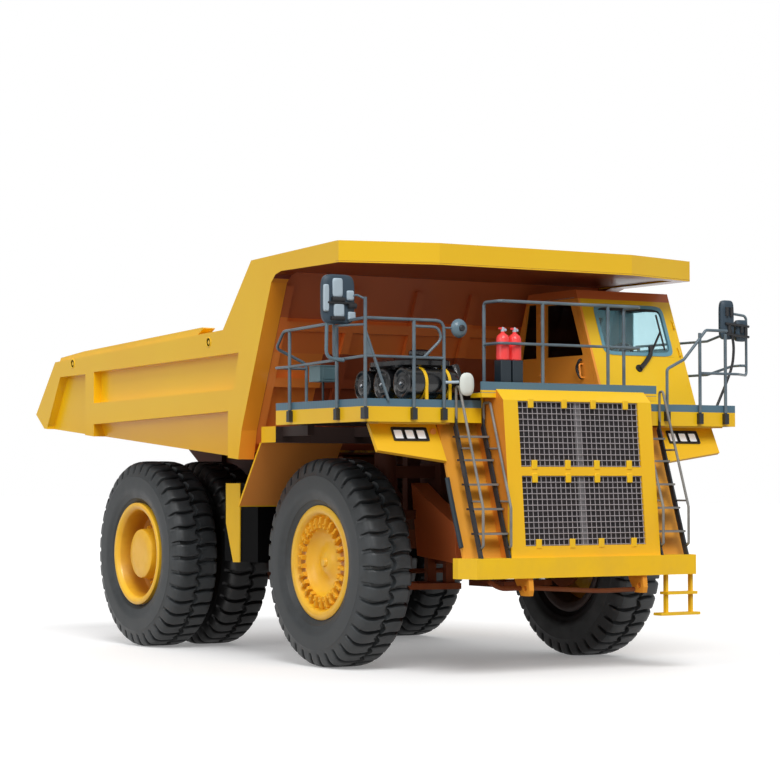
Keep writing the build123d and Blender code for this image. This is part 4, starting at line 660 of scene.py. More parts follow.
def turned(profile, centre, axis="x", side=1, count=48, loop=False):
    """(distance, radius) profile turned about an axis through centre; distance grows to `side`.
    A loop's last point joins its first, as on a band."""
    d, r = np.asarray(profile, float).T
    a = np.linspace(0, 2 * np.pi, count, endpoint=False)
    across = {"x": ((0, 1, 0), (0, 0, 1), (1, 0, 0)), "y": ((0, 0, 1), (1, 0, 0), (0, 1, 0)),
              "z": ((1, 0, 0), (0, 1, 0), (0, 0, 1))}[axis]
    e1, e2, e3 = (np.array(v, float) for v in across)
    ring = np.cos(a)[:, None] * e1 + np.sin(a)[:, None] * e2
    points = np.asarray(centre, float) + r[None, :, None] * ring[:, None] + side * d[None, :, None] * e3
    return grid(points, wrap_u=True, wrap_v=loop)


def boxes(rows):
    """Boxes from rows of ((x, x), (y, y), (z, z))."""
    return join([(np.array([[row[i][corner[i]] for i in range(3)] for corner in BOX_CORNERS], float),
                  BOX_FACES) for row in rows])


def prism(flat, low, high, axis="x"):
    """Outline of two coordinates between a low and high value of the third."""
    order = {"x": [2, 0, 1], "y": [0, 2, 1]}[axis]
    n = len(flat)
    points = np.vstack([np.column_stack([flat, np.full(n, value)]) for value in (low, high)])[:, order]
    sides = [[i, (i + 1) % n, (i + 1) % n + n, i + n] for i in range(n)]
    return points, sides + [list(range(n))[::-1], list(range(n, 2 * n))]


def outline(half_a, half_b, power, count):
    """Closed curve |a / half_a|^power + |b / half_b|^power = 1: a higher power gives squarer corners."""
    turn = (np.arange(count) + 0.5) / count * 2 * np.pi
    a, b = (np.sign(wave) * np.abs(wave) ** (2 / power) for wave in (np.cos(turn), np.sin(turn)))
    return np.stack([half_a * a, half_b * b], -1)


def outlines(half_a, half_b, rows, count):
    """One outline for each row of (inset, height, power)."""
    return np.stack([np.column_stack([outline(half_a - inset, half_b - inset, power, count),
                                      np.full(count, height)]) for inset, height, power in rows])


def lump(half_a, half_b, profile, power=5.0, count=32):
    """Rounded pad in local coordinates: outlines set in by each (inset, height), closed at both ends."""
    return capped(outlines(half_a, half_b, [(*row, power) for row in profile], count))


def ring_frame(half_a, half_b, border, low, high, power, inner, count=48):
    """Rounded frame with an opening, in local coordinates, from low to high. The power is that of its outer
    outline, inner that of its opening."""
    rows = ((0, low, power), (0, high, power), (border, high, inner), (border, low, inner))
    return grid(outlines(half_a, half_b, rows, count), wrap_u=True, wrap_v=True)


def placed(shape, origin, axes):
    """Local a, b and height coordinates set along three axes from an origin."""
    points, faces = shape
    return np.asarray(origin, float) + points @ np.asarray(axes, float), faces


def leaning(lean):
    """Across, up and out of a front plane that falls back by lean per metre of height."""
    slope = math.hypot(1, lean)
    return (1, 0, 0), (0, lean / slope, 1 / slope), (0, -1 / slope, lean / slope)


def on(origin, axes, a, b, height=0.0):
    """Point of a local frame."""
    return np.asarray(origin, float) + np.array([a, b, height]) @ np.asarray(axes, float)


# ==== Tyres
LUGS = 38
# half section from the middle of the tread to the bead: distance from the middle, radius, and how far the
# floor of a cross groove lies from there, inwards along x and towards the axle
HALF = np.array([
    (0, 1.35, 0, 0.052), (0.013, 1.35, 0, 0.052), (0.03, 1.35, 0, 0.062), (0.095, 1.35, 0, 0.066),
    (0.165, 1.349, 0, 0.066), (0.225, 1.345, 0, 0.064), (0.27, 1.333, 0, 0.058), (0.305, 1.306, 0.026, 0.046),
    (0.328, 1.262, 0.04, 0.026), (0.343, 1.212, 0.036, 0.01), (0.351, 1.18, 0.012, 0), (0.356, 1.166, 0, 0),
    (0.363, 1.13, 0, 0), (0.369, 1.122, 0, 0), (0.37, 1.04, 0, 0), (0.37, 0.96, 0, 0),
    (0.364, 0.895, 0, 0), (0.356, 0.884, 0, 0), (0.343, 0.838, 0, 0), (0.33, 0.812, 0, 0),
    (0.318, 0.806, 0, 0), (0.298, 0.78, 0, 0), (0.278, 0.757, 0, 0), (0.2695, 0.746, 0, 0),
    (0.2695, 0.637, 0, 0),
])
MIDDLE_PAIR = 0.02      # section points nearer the middle than this lie in the middle groove
# share of the groove's depth by distance from its middle, in lug pitches
GROOVE_WALL = ((0, 0.075, 0.135, 0.19), (1.0, 1.0, 0.12, 0))
# columns of points within one lug pitch
PITCH = np.array([0, 0.075, 0.135, 0.19, 0.31, 0.365, 0.425, 0.5, 0.575, 0.635, 0.69, 0.81, 0.865, 0.925])


def tyre(x0, y0):
    """Closed ring of tread and side walls. Columns: lug pitches, with a slant that grows with x and an S of
    sine form across the tread. A groove of the row at lower x lies at pitch 0, one of the other row half a
    pitch on; each point moves by its groove vector times the wall share. The middle line weaves with the
    lugs."""
    half = HALF[1:]
    section = np.vstack([half[::-1] * (-1, 1, -1, 1), HALF[:1], half])
    x, r, in_x, in_r = section.T
    phase = np.tile(PITCH, LUGS)
    angle = ((np.arange(LUGS)[:, None] + PITCH[None]) / LUGS * 2 * np.pi).ravel()
    away = np.abs(phase[:, None] - np.where(x < 0, 0, 0.5)[None])
    share = np.interp(np.minimum(away, 1 - away), *GROOVE_WALL)
    share[:, np.abs(x) < MIDDLE_PAIR] = 1.0
    on_tread = np.clip((0.34 - np.abs(x)) / 0.06, 0, 1) * (r > 1.2)
    weave_x = 0.032 * np.cos(2 * np.pi * phase)[:, None] * np.clip(1 - np.abs(x) / 0.15, 0, 1)[None]
    bend = 0.085 * np.clip(x, -0.3, 0.3) + 0.02 * np.sin(x / 0.285 * np.pi) * on_tread
    a = angle[:, None] + bend[None]
    radius = r[None] - share * in_r[None]
    points = np.stack([x0 + x[None] + weave_x - share * in_x[None], y0 - radius * np.cos(a),
                       TYRE_R + radius * np.sin(a)], -1)
    return grid(points, wrap_u=True, wrap_v=True)


SIDES = ((1, "left"), (-1, "right"))
for side, name in SIDES:
    piece(f"front_tread_{name}", tyre(side * FRONT_X, FRONT_Y), tyre_rubber, [f"front_tyre_{name}"],
          body=f"front_wheel_{name}", sharp=32)
    piece(f"rear_treads_{name}", [tyre(side * x, REAR_Y) for x in REAR_X], tyre_rubber,
          [f"rear_tyres_{name}"], body=f"rear_wheels_{name}", sharp=32)

# ==== Wheel fittings
FRONT_CLAMPS, REAR_NUTS = 26, 24


def around(count):
    """Angles half a step off the axis, evenly round a circle."""
    return 2 * np.pi * (np.arange(count) + 0.5) / count


def nut_ring(x, y, side, ring, length, size, count):
    """Six-sided nuts with a washer and stud each, set round a ring."""
    nut = [(-0.02, 0), (-0.02, size * 1.35), (length * 0.35, size * 1.35), (length * 0.35, size),
           (length * 0.8, size), (length, size * 0.55), (length, 0)]
    return join([turned(nut, (x, y + ring * math.cos(a), TYRE_R + ring * math.sin(a)), "x", side, 6)
                 for a in around(count)])


# (distance in from the outer face, radius) of each wheel's section, from the hub's cap round to the back
FRONT_RIM = [(0.07, 0), (0.07, 0.04), (0.08, 0.052), (0.102, 0.06), (0.11, 0.116), (0.128, 0.148),
             (0.16, 0.2), (0.18, 0.265), (0.168, 0.34), (0.13, 0.4), (0.088, 0.428),
             (0.07, 0.44), (0.08, 0.596), (0.05, 0.612), (0.012, 0.638), (0.001, 0.664), (0, 0.698),
             (0.007, 0.724), (0.02, 0.741), (0.03, 0.741), (0.03, 0.638), (0.57, 0.638), (0.57, 0.741),
             (0.59, 0.741), (0.6, 0.72), (0.6, 0.68), (0.57, 0.62), (0.5, 0.59), (0.3, 0.57),
             (0.24, 0.45), (0.26, 0.3), (0.34, 0.22), (0.34, 0)]
REAR_RIM = [(0.078, 0), (0.076, 0.2), (0.08, 0.332), (0.09, 0.35), (0.11, 0.357), (0.35, 0.376),
            (0.378, 0.42), (0.385, 0.54), (0.362, 0.59), (0.3, 0.61), (0.07, 0.626), (0.03, 0.646),
            (0.006, 0.676), (0, 0.702), (0.004, 0.724), (0.016, 0.741), (0.08, 0.741), (0.08, 0.638),
            (0.62, 0.638), (0.62, 0.741), (0.66, 0.741), (0.68, 0.7), (0.68, 0.64), (0.88, 0.64),
            (0.88, 0.7), (0.9, 0.741), (0.938, 0.741), (0.938, 0.638), (1.482, 0.638), (1.482, 0.741),
            (1.5, 0.741), (1.51, 0.7), (1.51, 0.66), (1.49, 0.62), (1.4, 0.6), (1.1, 0.59),
            (1.06, 0)]
# corners of one clamp: distance from the axle, distance along the rim, depth from the wheel's outer face
WEDGE = np.array([(0.436, -0.034, -0.082), (0.598, -0.026, -0.082), (0.598, 0.026, -0.082),
                  (0.436, 0.034, -0.082), (0.446, -0.027, -0.01), (0.582, -0.017, -0.022),
                  (0.582, 0.017, -0.022), (0.446, 0.027, -0.01)])


def clamp_ring(x, y, side):
    """Wedge clamps: each a block set along a radius, thinner at its outer end."""
    return join([placed((WEDGE, BOX_FACES), (x, y, TYRE_R),
                        ((0, math.cos(a), math.sin(a)), (0, -math.sin(a), math.cos(a)), (side, 0, 0)))
                 for a in around(FRONT_CLAMPS)])


for side, name in SIDES:
    piece(f"front_wheel_disc_{name}", turned(FRONT_RIM, (side * FRONT_FACE, FRONT_Y, TYRE_R), "x", -side, 96),
          front_wheel, [f"front_rim_{name}"], body=f"front_wheel_{name}")
    piece(f"front_wheel_clamps_{name}", clamp_ring(side * FRONT_FACE, FRONT_Y, side), clamp_yellow,
          body=f"front_wheel_{name}", bevel=0.004)
    piece(f"front_wheel_nuts_{name}",
          nut_ring(side * (FRONT_FACE - 0.024), FRONT_Y, side, 0.5, 0.03, 0.017, FRONT_CLAMPS),
          clamp_yellow, body=f"front_wheel_{name}")
    piece(f"rear_wheel_discs_{name}", turned(REAR_RIM, (side * REAR_FACE, REAR_Y, TYRE_R), "x", -side, 96),
          rear_wheel, [f"rear_rims_{name}"], body=f"rear_wheels_{name}")
    piece(f"rear_wheel_nuts_{name}",
          nut_ring(side * (REAR_FACE - 0.38), REAR_Y, side, 0.47, 0.05, 0.022, REAR_NUTS),
          clamp_yellow, body=f"rear_wheels_{name}")

# ==== Radiator screens
HOUSE_FOOT_Y, HOUSE_LOW, HOUSE_LEAN, SCREEN_HALF = -5.285, 1.46, 0.094, 0.931
SCREENS = ((1.6, 2.465), (2.575, 3.39))
WIRE_PITCH, WIRE_R = 0.0745, 0.005


def house_y(z):
    """Front face of the radiator housing at a height."""
    return HOUSE_FOOT_Y + (z - HOUSE_LOW) * HOUSE_LEAN


def wires_between(low, high, edge):
    """Even places from edge past low to edge short of high, about a wire's pitch apart."""
    return np.linspace(low + edge, high - edge, round((high - low) / WIRE_PITCH) + 1)


wires, clips, backs = [], [], []
for low, high in SCREENS:
    for x in wires_between(-SCREEN_HALF, SCREEN_HALF, 0.01):
        ends = [(x, house_y(z) + 0.026, z + past) for z, past in ((low, -0.005), (high, 0.005))]
        wires.append(tube(ends, WIRE_R, 6))
    for z in wires_between(low, high, 0.01):
        wires.append(tube([(x, house_y(z) + 0.016, z) for x in (-SCREEN_HALF - 0.005, SCREEN_HALF + 0.005)],
                          WIRE_R, 6))
    for z, inwards in ((low, 1), (high, -1)):
        for x in (-0.735, -0.225, 0.225, 0.735):
            clips.append(((x - 0.04, x + 0.04), (house_y(z) - 0.012, house_y(z) + 0.012),
                          sorted((z - inwards * 0.03, z + inwards * 0.085))))
    backs.append(prism([(house_y(low) + 0.045, low), (house_y(low) + 0.055, low),
                        (house_y(high) + 0.055, high), (house_y(high) + 0.045, high)], -0.93, 0.93))
piece("screen_wires", wires, galvanised, ["grille_screens"])
piece("screen_clips", boxes(clips), yellow, bevel=0.006)
piece("screen_backs", backs, fins)

# ==== Headlamps: a black tray with three square lenses in each leaning panel, and a round lamp beside it
LAMP_ORIGIN, LAMP_AXES = (0, -4.44, 3.12), leaning(0.557)
LAMP_X, LAMP_UP, LENS_STEP = 2.135, -0.1675, 0.165
trays, lenses = [], []
for side in (1, -1):
    mid = on(LAMP_ORIGIN, LAMP_AXES, side * LAMP_X, LAMP_UP)
    trays += [placed(ring_frame(0.258, 0.096, 0.014, -0.04, 0.016, 24, 20), mid, LAMP_AXES),
              placed(lump(0.25, 0.088, [(0, -0.045), (0, -0.03)], 24), mid, LAMP_AXES)]
    for step in (-1, 0, 1):
        spot = on(mid, LAMP_AXES, step * LENS_STEP, 0)
        trays.append(placed(ring_frame(0.072, 0.072, 0.009, -0.032, 0.008, 12, 10, 32), spot, LAMP_AXES))
        lenses.append(placed(lump(0.064, 0.064, [(0, -0.03), (0, -0.006), (0.012, 0.002), (0.03, 0.005)], 10),
                             spot, LAMP_AXES))
piece("headlamp_trays", trays, plastic)
piece("headlamp_lenses", lenses, lamp, ["headlamps"])
piece("round_lamps", [turned([(0, 0), (0, 0.04), (0.012, 0.044), (0.02, 0.036), (0.024, 0)],
                             (x, *on(LAMP_ORIGIN, LAMP_AXES, 0, -0.125)[1:]), "y", -1, 20)
                      for x in (1.79, -1.79)], amber)

# ==== Mirrors
SHELL_DEEP, PANE_INSET = 0.085, 0.016


def shell(x, y, z, half_x, half_z):
    """Mirror housing, domed towards the front."""
    dome = [(0.006, 0), (0, 0.012), (0, SHELL_DEEP * 0.6), (0.02, SHELL_DEEP * 0.88), (0.06, SHELL_DEEP)]
    return placed(lump(half_x, half_z, dome), (x, y, z), FRONT)


def glass_pane(x, y, z, half_x, half_z):
    """Mirror glass set in a housing's open back."""
    pane = [(0, -0.004), (0, 0.003), (0.006, 0.006)]
    return placed(lump(half_x - PANE_INSET, half_z - PANE_INSET, pane), (x, y, z), REAR)


# mirror housings: place, then half width and half height
SHELLS = ((-3.04, -4.272, 4.6125, 0.23, 0.3025), (2.865, -4.52, 4.5525, 0.115, 0.2625),
          (3.115, -4.52, 4.415, 0.105, 0.145))
# pale pads on the right mirror's back: x, z and half sizes
PADS = ((-3.075, 4.75, 0.07, 0.115), (-3.055, 4.475, 0.072, 0.08), (-3.235, 4.62, 0.038, 0.165),
        (-2.895, 4.66, 0.05, 0.06), (-2.875, 4.41, 0.052, 0.052))
piece("mirror_shells", [shell(*row) for row in SHELLS], mirror_back)
piece("mirror_panes", [glass_pane(*row) for row in SHELLS], mirror, ["mirrors"])
piece("mirror_pads", [placed(lump(hx, hz, [(0, 0), (0, 0.02), (0.012, 0.03)], 6), (x, -4.352, z), FRONT)
                      for x, z, hx, hz in PADS], pale_plastic)
# level tubes on the right mirror's back: x at both ends, z and radius
clamps = [tube([(start, -4.372, z), (end, -4.372, z)], radius, 10) for start, end, z, radius in (
    (-3.16, -2.98, 4.605, 0.03), (-3.22, -2.84, 4.565, 0.016), (-3.17, -2.98, 4.375, 0.026),
    (-2.93, -2.82, 4.535, 0.035))]
clamps += [tube([(x, -4.612, z - 0.06), (x, -4.612, z + 0.06)], 0.026, 10) for x, z in (
    (2.83, 4.66), (2.9, 4.66), (2.865, 4.42), (3.08, 4.44), (3.15, 4.4))]
clamps += [tube([(2.8, -4.616, z), (3.2, -4.616, z - 0.03)], 0.018, 8) for z in (4.5, 4.36)]
piece("mirror_clamps", clamps, plastic)
stays = [tube(rounded([(-2.84, -4.36, 4.66), (-2.9, -4.52, 4.66), (-2.905, -4.72, 4.6)], 0.05), 0.012),
         tube(rounded([(-3.186, -4.3, 4.46), (-3.186, -4.28, 3.9), (-2.93, -4.27, 3.87)], 0.1), 0.022)]
piece("mirror_stays", stays, grey_blue)
hose = rounded([(2.9, -4.6, 4.42), (2.938, -4.62, 4.225), (2.919, -4.62, 3.957), (2.814, -4.62, 3.727),
                (2.641, -4.62, 3.4)], 0.25, 6)
piece("mirror_cable", tube(hose, 0.019), plastic)

# round mirror at the end of the right handrail
dish = [(0, 0), (0, 0.112), (0.012, 0.118), (0.026, 0.114), (0.06, 0.08), (0.078, 0.035), (0.08, 0)]
dish_hub = [(0, 0), (0, 0.04), (0.018, 0.038), (0.028, 0.026), (0.03, 0)]
piece("round_mirror", turned(dish, (-1.548, -4.715, 4.285), "y", -1, 40), grey_blue)
piece("round_mirror_hub", turned(dish_hub, (-1.548, -4.792, 4.285), "y", -1, 20), plastic)
# pale oval mirror above the bumper's right bar, with its bracket to the walkway
OVAL_AT, OVAL_POWER = (-1.513, -4.835, 3.59), 2.6
oval = [(0.004, 0), (0, 0.012), (0, 0.02), (0.02, 0.036), (0.055, 0.046)]
oval_pane = [(0, -0.003), (0, 0.003), (0.01, 0.005)]
piece("oval_mirror", placed(lump(0.1035, 0.142, oval, OVAL_POWER, 40), OVAL_AT, FRONT), white_plastic)
piece("oval_mirror_pane", placed(lump(0.09, 0.128, oval_pane, OVAL_POWER, 40), OVAL_AT, REAR), mirror)
piece("oval_mirror_bracket", tube([(-1.6, -4.8, 3.615), (-1.76, -4.745, 3.612)], 0.02), pale_plastic)

# ==== Right handrail: posts, sockets, rails bent round the deck's corners, the gate's bent stay and one brace
RAIL_X, RAIL_FRONT, RAIL_REAR = -2.905, -4.733, -2.546      # outer line, front line, rear line
RAIL_INNER, GATE_X, END_X = -2.46, -2.21, -1.772            # rear rail's inner end, gate post, last post
REAR_POST, MID_POST = -2.89, -4.06                          # posts along the side
RAIL_FOOT, RAIL_TOP, RAIL_MID, FRONT_MID = 3.15, 4.31, 3.85, 3.91
FRONT_TOP = RAIL_TOP + 0.06
POST_R, RAIL_R, BAR_R = 0.022, 0.02, 0.018
bars = [tube([(x, y, RAIL_FOOT), (x, y, high)], POST_R, 12) for x, y, high in (
    (RAIL_X, REAR_POST, 4.29), (RAIL_X, MID_POST, 4.29), (RAIL_X, RAIL_FRONT, 4.62),
    (GATE_X, RAIL_FRONT, FRONT_TOP), (END_X, RAIL_FRONT, 3.89))]
# bent rails: corners, radius of the bar, radius of the bends
bars += [tube(rounded(corners, bend), radius, 12) for corners, radius, bend in (
    ([(RAIL_X, RAIL_FRONT, FRONT_TOP), (RAIL_X, -2.735, RAIL_TOP), (RAIL_X, RAIL_REAR, 4.1),
      (RAIL_INNER, RAIL_REAR, 3.91), (RAIL_INNER, RAIL_REAR, DECK_Z)], RAIL_R, 0.06),
    ([(RAIL_X, RAIL_FRONT, FRONT_TOP), (END_X, RAIL_FRONT, FRONT_TOP), (END_X, RAIL_FRONT, RAIL_MID)],
     RAIL_R, 0.12),
    ([(GATE_X, RAIL_FRONT, 4.29), (-1.86, RAIL_FRONT, 4.29), (-1.8, RAIL_FRONT, 4.15),
      (-2.07, RAIL_FRONT, 3.91)], BAR_R, 0.09),
    ([(RAIL_X, -4.25, 3.89), (-3.06, -4.25, 3.89), (-3.06, -4.25, 4.7)], BAR_R, 0.09))]
# straight bars: one end, the other end, radius, sides
bars += [tube([start, end], radius, sides) for start, end, radius, sides in (
    ((RAIL_X, RAIL_REAR, RAIL_MID), (RAIL_INNER, RAIL_REAR, RAIL_MID), BAR_R, 12),
    ((RAIL_X, REAR_POST, RAIL_MID), (RAIL_X, RAIL_REAR, RAIL_MID), BAR_R, 12),
    ((RAIL_X, RAIL_FRONT, 4.22), (-2.57, -4.725, 3.38), BAR_R, 12),
    ((RAIL_X, REAR_POST, RAIL_MID), (RAIL_X, RAIL_FRONT, FRONT_MID), BAR_R, 12),
    ((RAIL_X, RAIL_FRONT, FRONT_MID), (END_X, RAIL_FRONT, FRONT_MID), BAR_R, 12),
    ((RAIL_X, RAIL_FRONT, 4.29), (-3.06, -4.25, 4.29), 0.014, 10),
    ((END_X, RAIL_FRONT, 4.285), (-1.58, -4.725, 4.285), 0.012, 10))]
gusset = [(RAIL_X, 3.93), (RAIL_X + 0.11, 3.93), (RAIL_X, 4.2)]
bars.append(prism(gusset, RAIL_FRONT - 0.004, RAIL_FRONT + 0.004, "y"))
SOCKET_X, SOCKET_Z, SOCKET_HALF = (-2.935, -2.878), (RAIL_FOOT, 3.29), 0.035
sockets = [(SOCKET_X, (y - SOCKET_HALF, y + SOCKET_HALF), SOCKET_Z) for y in (REAR_POST, MID_POST)]
sockets.append((SOCKET_X, (-4.763, -4.671), SOCKET_Z))
sockets += [((x - SOCKET_HALF, x + SOCKET_HALF), (-4.763, -4.706), SOCKET_Z) for x in (GATE_X, END_X)]
bars.append(boxes(sockets))
piece("right_rail", bars, rails, ["handrail_right"])

# ==== Load floor: plate, cross bolsters that are shallow outside the sills, cheeks of the hoist rods' eyes
FLOOR_FRONT, FLOOR_HALF = -1.1407, 2.54
BOLSTERS, BOLSTER_LENGTH = (-0.85, -0.05, 1.45, 2.25, 3.05, 3.85, 4.6), 0.12
HOIST_CHEEKS, CHEEK_THICK = (0.598, 0.808), 0.034


def floor_edge(y, above=0.0):
    """Height above the lower line of the load floor's side edge."""
    return 2.8014 + FLOOR_RISE * y + above


sheets = [prism([(FLOOR_FRONT, floor_edge(FLOOR_FRONT, 0.06)), (FLOOR_FRONT, floor_edge(FLOOR_FRONT, 0.12)),
                 (5.018, 3.343), (5.33, 3.468), (5.33, 3.388), (5.058, 3.283)], -FLOOR_HALF, FLOOR_HALF)]
for front in BOLSTERS:
    back = front + BOLSTER_LENGTH
    for half, low in ((FLOOR_HALF, 0.01), (0.9, -0.09)):
        sheets.append(prism([(front, floor_edge(front, 0.07)), (front, floor_edge(front, low)),
                             (back, floor_edge(back, low)), (back, floor_edge(back, 0.07))], -half, half))
cheek = [(0.75, 2.51), (0.95, 2.51), (1.05, floor_edge(1.05, 0.07)), (0.65, floor_edge(0.65, 0.07))]
sheets += [prism(cheek, *sorted((side * x, side * (x + CHEEK_THICK)))) for side in (1, -1)
           for x in HOIST_CHEEKS]
piece("load_floor", sheets, tray, ["body_floor"], body="dump_body")

# ==== Lifting eyes on the body's sides: a raised ring with its hole, drawn as a dark disc of painted shade
eyes = [((side * WALL_OUT, y, z), "x", side, 28)
        for side in (1, -1) for y, z in ((-0.443, 4.289), (3.974, 4.187))]
eye_ring = [(-0.01, 0.056), (0.008, 0.056), (0.012, 0.059), (0.012, 0.066), (0.008, 0.07), (-0.01, 0.07)]
eye_hole = [(0.003, 0), (0.004, 0.03), (0.004, 0.057), (-0.01, 0.057), (-0.01, 0)]
piece("lifting_eyes", [turned(eye_ring, *eye, loop=True) for eye in eyes], yellow, body="dump_body")
# the holes: dark discs of painted shade
piece("lifting_eye_holes", [turned(eye_hole, *eye) for eye in eyes], seal, body="dump_body")

# ==== Slanting plates on the frame's front horns, inside the front wheels
HORN = [(-2.56, 2.38), (-2.61, 2.0), (-2.7, 1.42), (-3.63, 1.34), (-3.61, 1.84), (-2.92, 2.17)]
# orange painted shade on the plates
piece("frame_horns", [prism(HORN, *sorted((side * 0.6, side * 0.87))) for side in (1, -1)], horn_shade_paint,
      bevel=0.006)

# ==== Air cleaners: three drums side by side under a common intake duct
DRUM_Z, DRUM_Y, BAND_X = 3.6, (-4.5, -4.04, -3.575), (-2.0, -1.66)
BAND_HALF = 0.021
drum = [(0, 0), (0, 0.052), (0.01, 0.06), (0.006, 0.1), (0.016, 0.135), (0, 0.165), (0.004, 0.186),
        (0.016, 0.195), (0.235, 0.195), (0.24, 0.201), (0.258, 0.201), (0.263, 0.195), (0.7, 0.195),
        (0.745, 0.18), (0.768, 0.12), (0.77, 0)]
cap = [(0, 0), (0, 0.075), (0.06, 0.085), (0.075, 0.075), (0.075, 0)]
knob = [(0, 0), (0, 0.026), (0.016, 0.026), (0.026, 0.016), (0.028, 0)]
band = [(-BAND_HALF, 0.194), (-BAND_HALF, 0.205), (BAND_HALF, 0.205), (BAND_HALF, 0.194)]
drums, knobs, bands, saddles, ducts = [], [], [], [], []
for y in DRUM_Y:
    drums.append(turned(drum, (-2.25, y, DRUM_Z), "x", 1, 48))
    drums.append(turned(cap, (-2.03, y + 0.03, 3.77), "z", 1, 24))
    knobs.append(turned(knob, (-2.246, y, DRUM_Z), "x", -1, 16))
    elbow = rounded([(-1.52, y, DRUM_Z), (-1.4, y, DRUM_Z), (-1.4, y + 0.12, 3.82)], 0.1, 6)
    ducts.append(tube(elbow, 0.075, 16))
    for x in BAND_X:
        bands.append(turned(band, (x, y, DRUM_Z), "x", 1, 48, loop=True))
        saddles += [((x - BAND_HALF, x + BAND_HALF), (y + side - 0.012, y + side + 0.012), (DECK_Z, DRUM_Z))
                    for side in (0.19, -0.19)]
        saddles.append(((x - 0.03, x + 0.03), (y - 0.2, y + 0.2), (DECK_Z, 3.345)))
bands.append(boxes(saddles))
cover = lump(0.36, 0.5, [(0.03, 0), (0, 0.03), (0, 0.085), (0.05, 0.12), (0.1, 0.13)], 6, 48)
intake = [(0, 0), (0, 0.1), (0.05, 0.13), (0.1, 0.13), (0.12, 0.1), (0.12, 0)]
ducts += [placed(cover, (-1.86, -4.075, 3.8), UP), turned(intake, (-1.86, -4.3, 3.91), "z", 1, 32)]
piece("air_cleaner_drums", drums, black_paint, ["air_cleaners"])
piece("air_cleaner_knobs", knobs, bright)
piece("air_cleaner_bands", bands, yellow, bevel=0.003)
piece("air_intake_duct", ducts, black_paint)

# ==== Fire extinguishers on their stand
BOTTLE_X, BOTTLE_Y, BOTTLE_FOOT = (-0.927, -0.748), -4.78, 3.905
bottle = [(0, 0), (0, 0.076), (0.01, 0.084), (0.265, 0.084), (0.305, 0.07), (0.33, 0.04),
          (0.34, 0.024), (0.36, 0.024), (0.36, 0)]
valve = [(0, 0), (0, 0.026), (0.045, 0.026), (0.05, 0.018), (0.06, 0)]
gauge = [(0, 0), (0, 0.016), (0.012, 0.016), (0.012, 0)]
bottles, valves = [], []
for x in BOTTLE_X:
    bottles.append(turned(bottle, (x, BOTTLE_Y, BOTTLE_FOOT), "z", 1, 32))
    bottles.append(boxes([((x - 0.055, x + 0.035), (BOTTLE_Y - 0.014, BOTTLE_Y + 0.014), (4.29, 4.312))]))
    valves.append(turned(valve, (x, BOTTLE_Y, 4.262), "z", 1, 16))
    valves.append(turned(gauge, (x + 0.02, BOTTLE_Y - 0.024, 4.282), "y", -1, 14))
piece("extinguisher_bottles", bottles, red_paint, ["fire_extinguishers"])
piece("extinguisher_valves", valves, pale_plastic)
stand = [((x - 0.078, x + 0.078), (BOTTLE_Y - 0.075, BOTTLE_Y + 0.075), (3.52, BOTTLE_FOOT))
         for x in BOTTLE_X]
stand += [((-1.02, -0.655), (BOTTLE_Y - 0.06, BOTTLE_Y + 0.07), (CENTRE_DECK_Z, 3.52))]
piece("extinguisher_stand", boxes(stand), stand_paint, bevel=0.006)

# ==== Cab: gaskets, wiper, handles and seat
SCREEN_AXES = leaning(SCREEN_LEAN)
# windscreen's middle, half width and half height along its slope
SCREEN_MID, SCREEN_A, SCREEN_B = (2.015, -3.6216, 4.435), 0.595, 0.3817
FIT = 0.004             # of the gasket inside the cab's opening and of its corners outside


def screen_point(x, z, out=0.0):
    """Point of the windscreen's plane at x and z, moved out from it."""
    return on((x, -4.066 + (z - DECK_Z) * SCREEN_LEAN, z), SCREEN_AXES, 0, 0, out)


corners = ring_frame(SCREEN_A + FIT, SCREEN_B + FIT, 0.012, -0.035, 0.003, 60, 9, 96)
gasket = ring_frame(SCREEN_A - FIT, SCREEN_B - FIT, 0.05, -0.03, 0.01, 9, 9, 96)
piece("windscreen_corners", placed(corners, SCREEN_MID, SCREEN_AXES), yellow)
piece("windscreen_gasket", placed(gasket, SCREEN_MID, SCREEN_AXES), teal_seal)
LINING_X = (2.69, 2.706)
lining = [(LINING_X, (-2.74, -2.42), (4.06, 4.8)), (LINING_X, (-3.56, -3.18), (4.06, 4.13)),
          (LINING_X, (-3.6, -2.42), (4.06, 4.215)), (LINING_X, (-3.42, -2.42), (4.745, 4.81))]
piece("cab_lining", boxes(lining), teal_lining)
band_front = [screen_point(x, z, 0.006) for x, z in ((1.46, 4.7), (2.57, 4.7), (2.57, 4.765), (1.46, 4.765))]
band_back = [point + (0, 0.004, 0) for point in band_front]
piece("windscreen_shade", (np.array(band_front + band_back), BOX_FACES), seal)
wiper = [tube(rounded([(1.953, -3.849, 3.909), (2.206, -3.765, 4.122), (2.455, -3.648, 4.42)], 0.12), 0.015),
         tube([screen_point(2.462, 4.171, 0.018), screen_point(2.461, 4.658, 0.018)], 0.013),
         tube(rounded([(1.953, -3.856, 3.909), (2.08, -3.815, 4.0), (2.206, -3.772, 4.122),
                       (2.225, -3.73, 4.22)], 0.08), 0.032, 10),
         turned([(0, 0), (0, 0.05), (0.03, 0.055), (0.06, 0.04), (0.06, 0)],
                (1.953, -3.8, 3.909), "y", -1, 20)]
piece("wiper", wiper, plastic)
handles = [tube(rounded([(2.719, -3.56, 4.6), (2.735, -3.6, 4.54), (2.719, -3.63, 4.48)], 0.03), 0.013),
           tube(rounded([(2.702, -3.72, 4.22), (2.718, -3.75, 4.16), (2.702, -3.78, 4.1)], 0.03), 0.013)]
piece("pillar_handles", handles, yellow)
DOOR_X = 1.188
catch = rounded([(DOOR_X + 0.01, -3.535, 4.02), (DOOR_X - 0.035, -3.562, 4.008),
                 (DOOR_X - 0.035, -3.494, 3.904), (DOOR_X - 0.035, -3.584, 3.78),
                 (DOOR_X + 0.01, -3.56, 3.775)], 0.05)
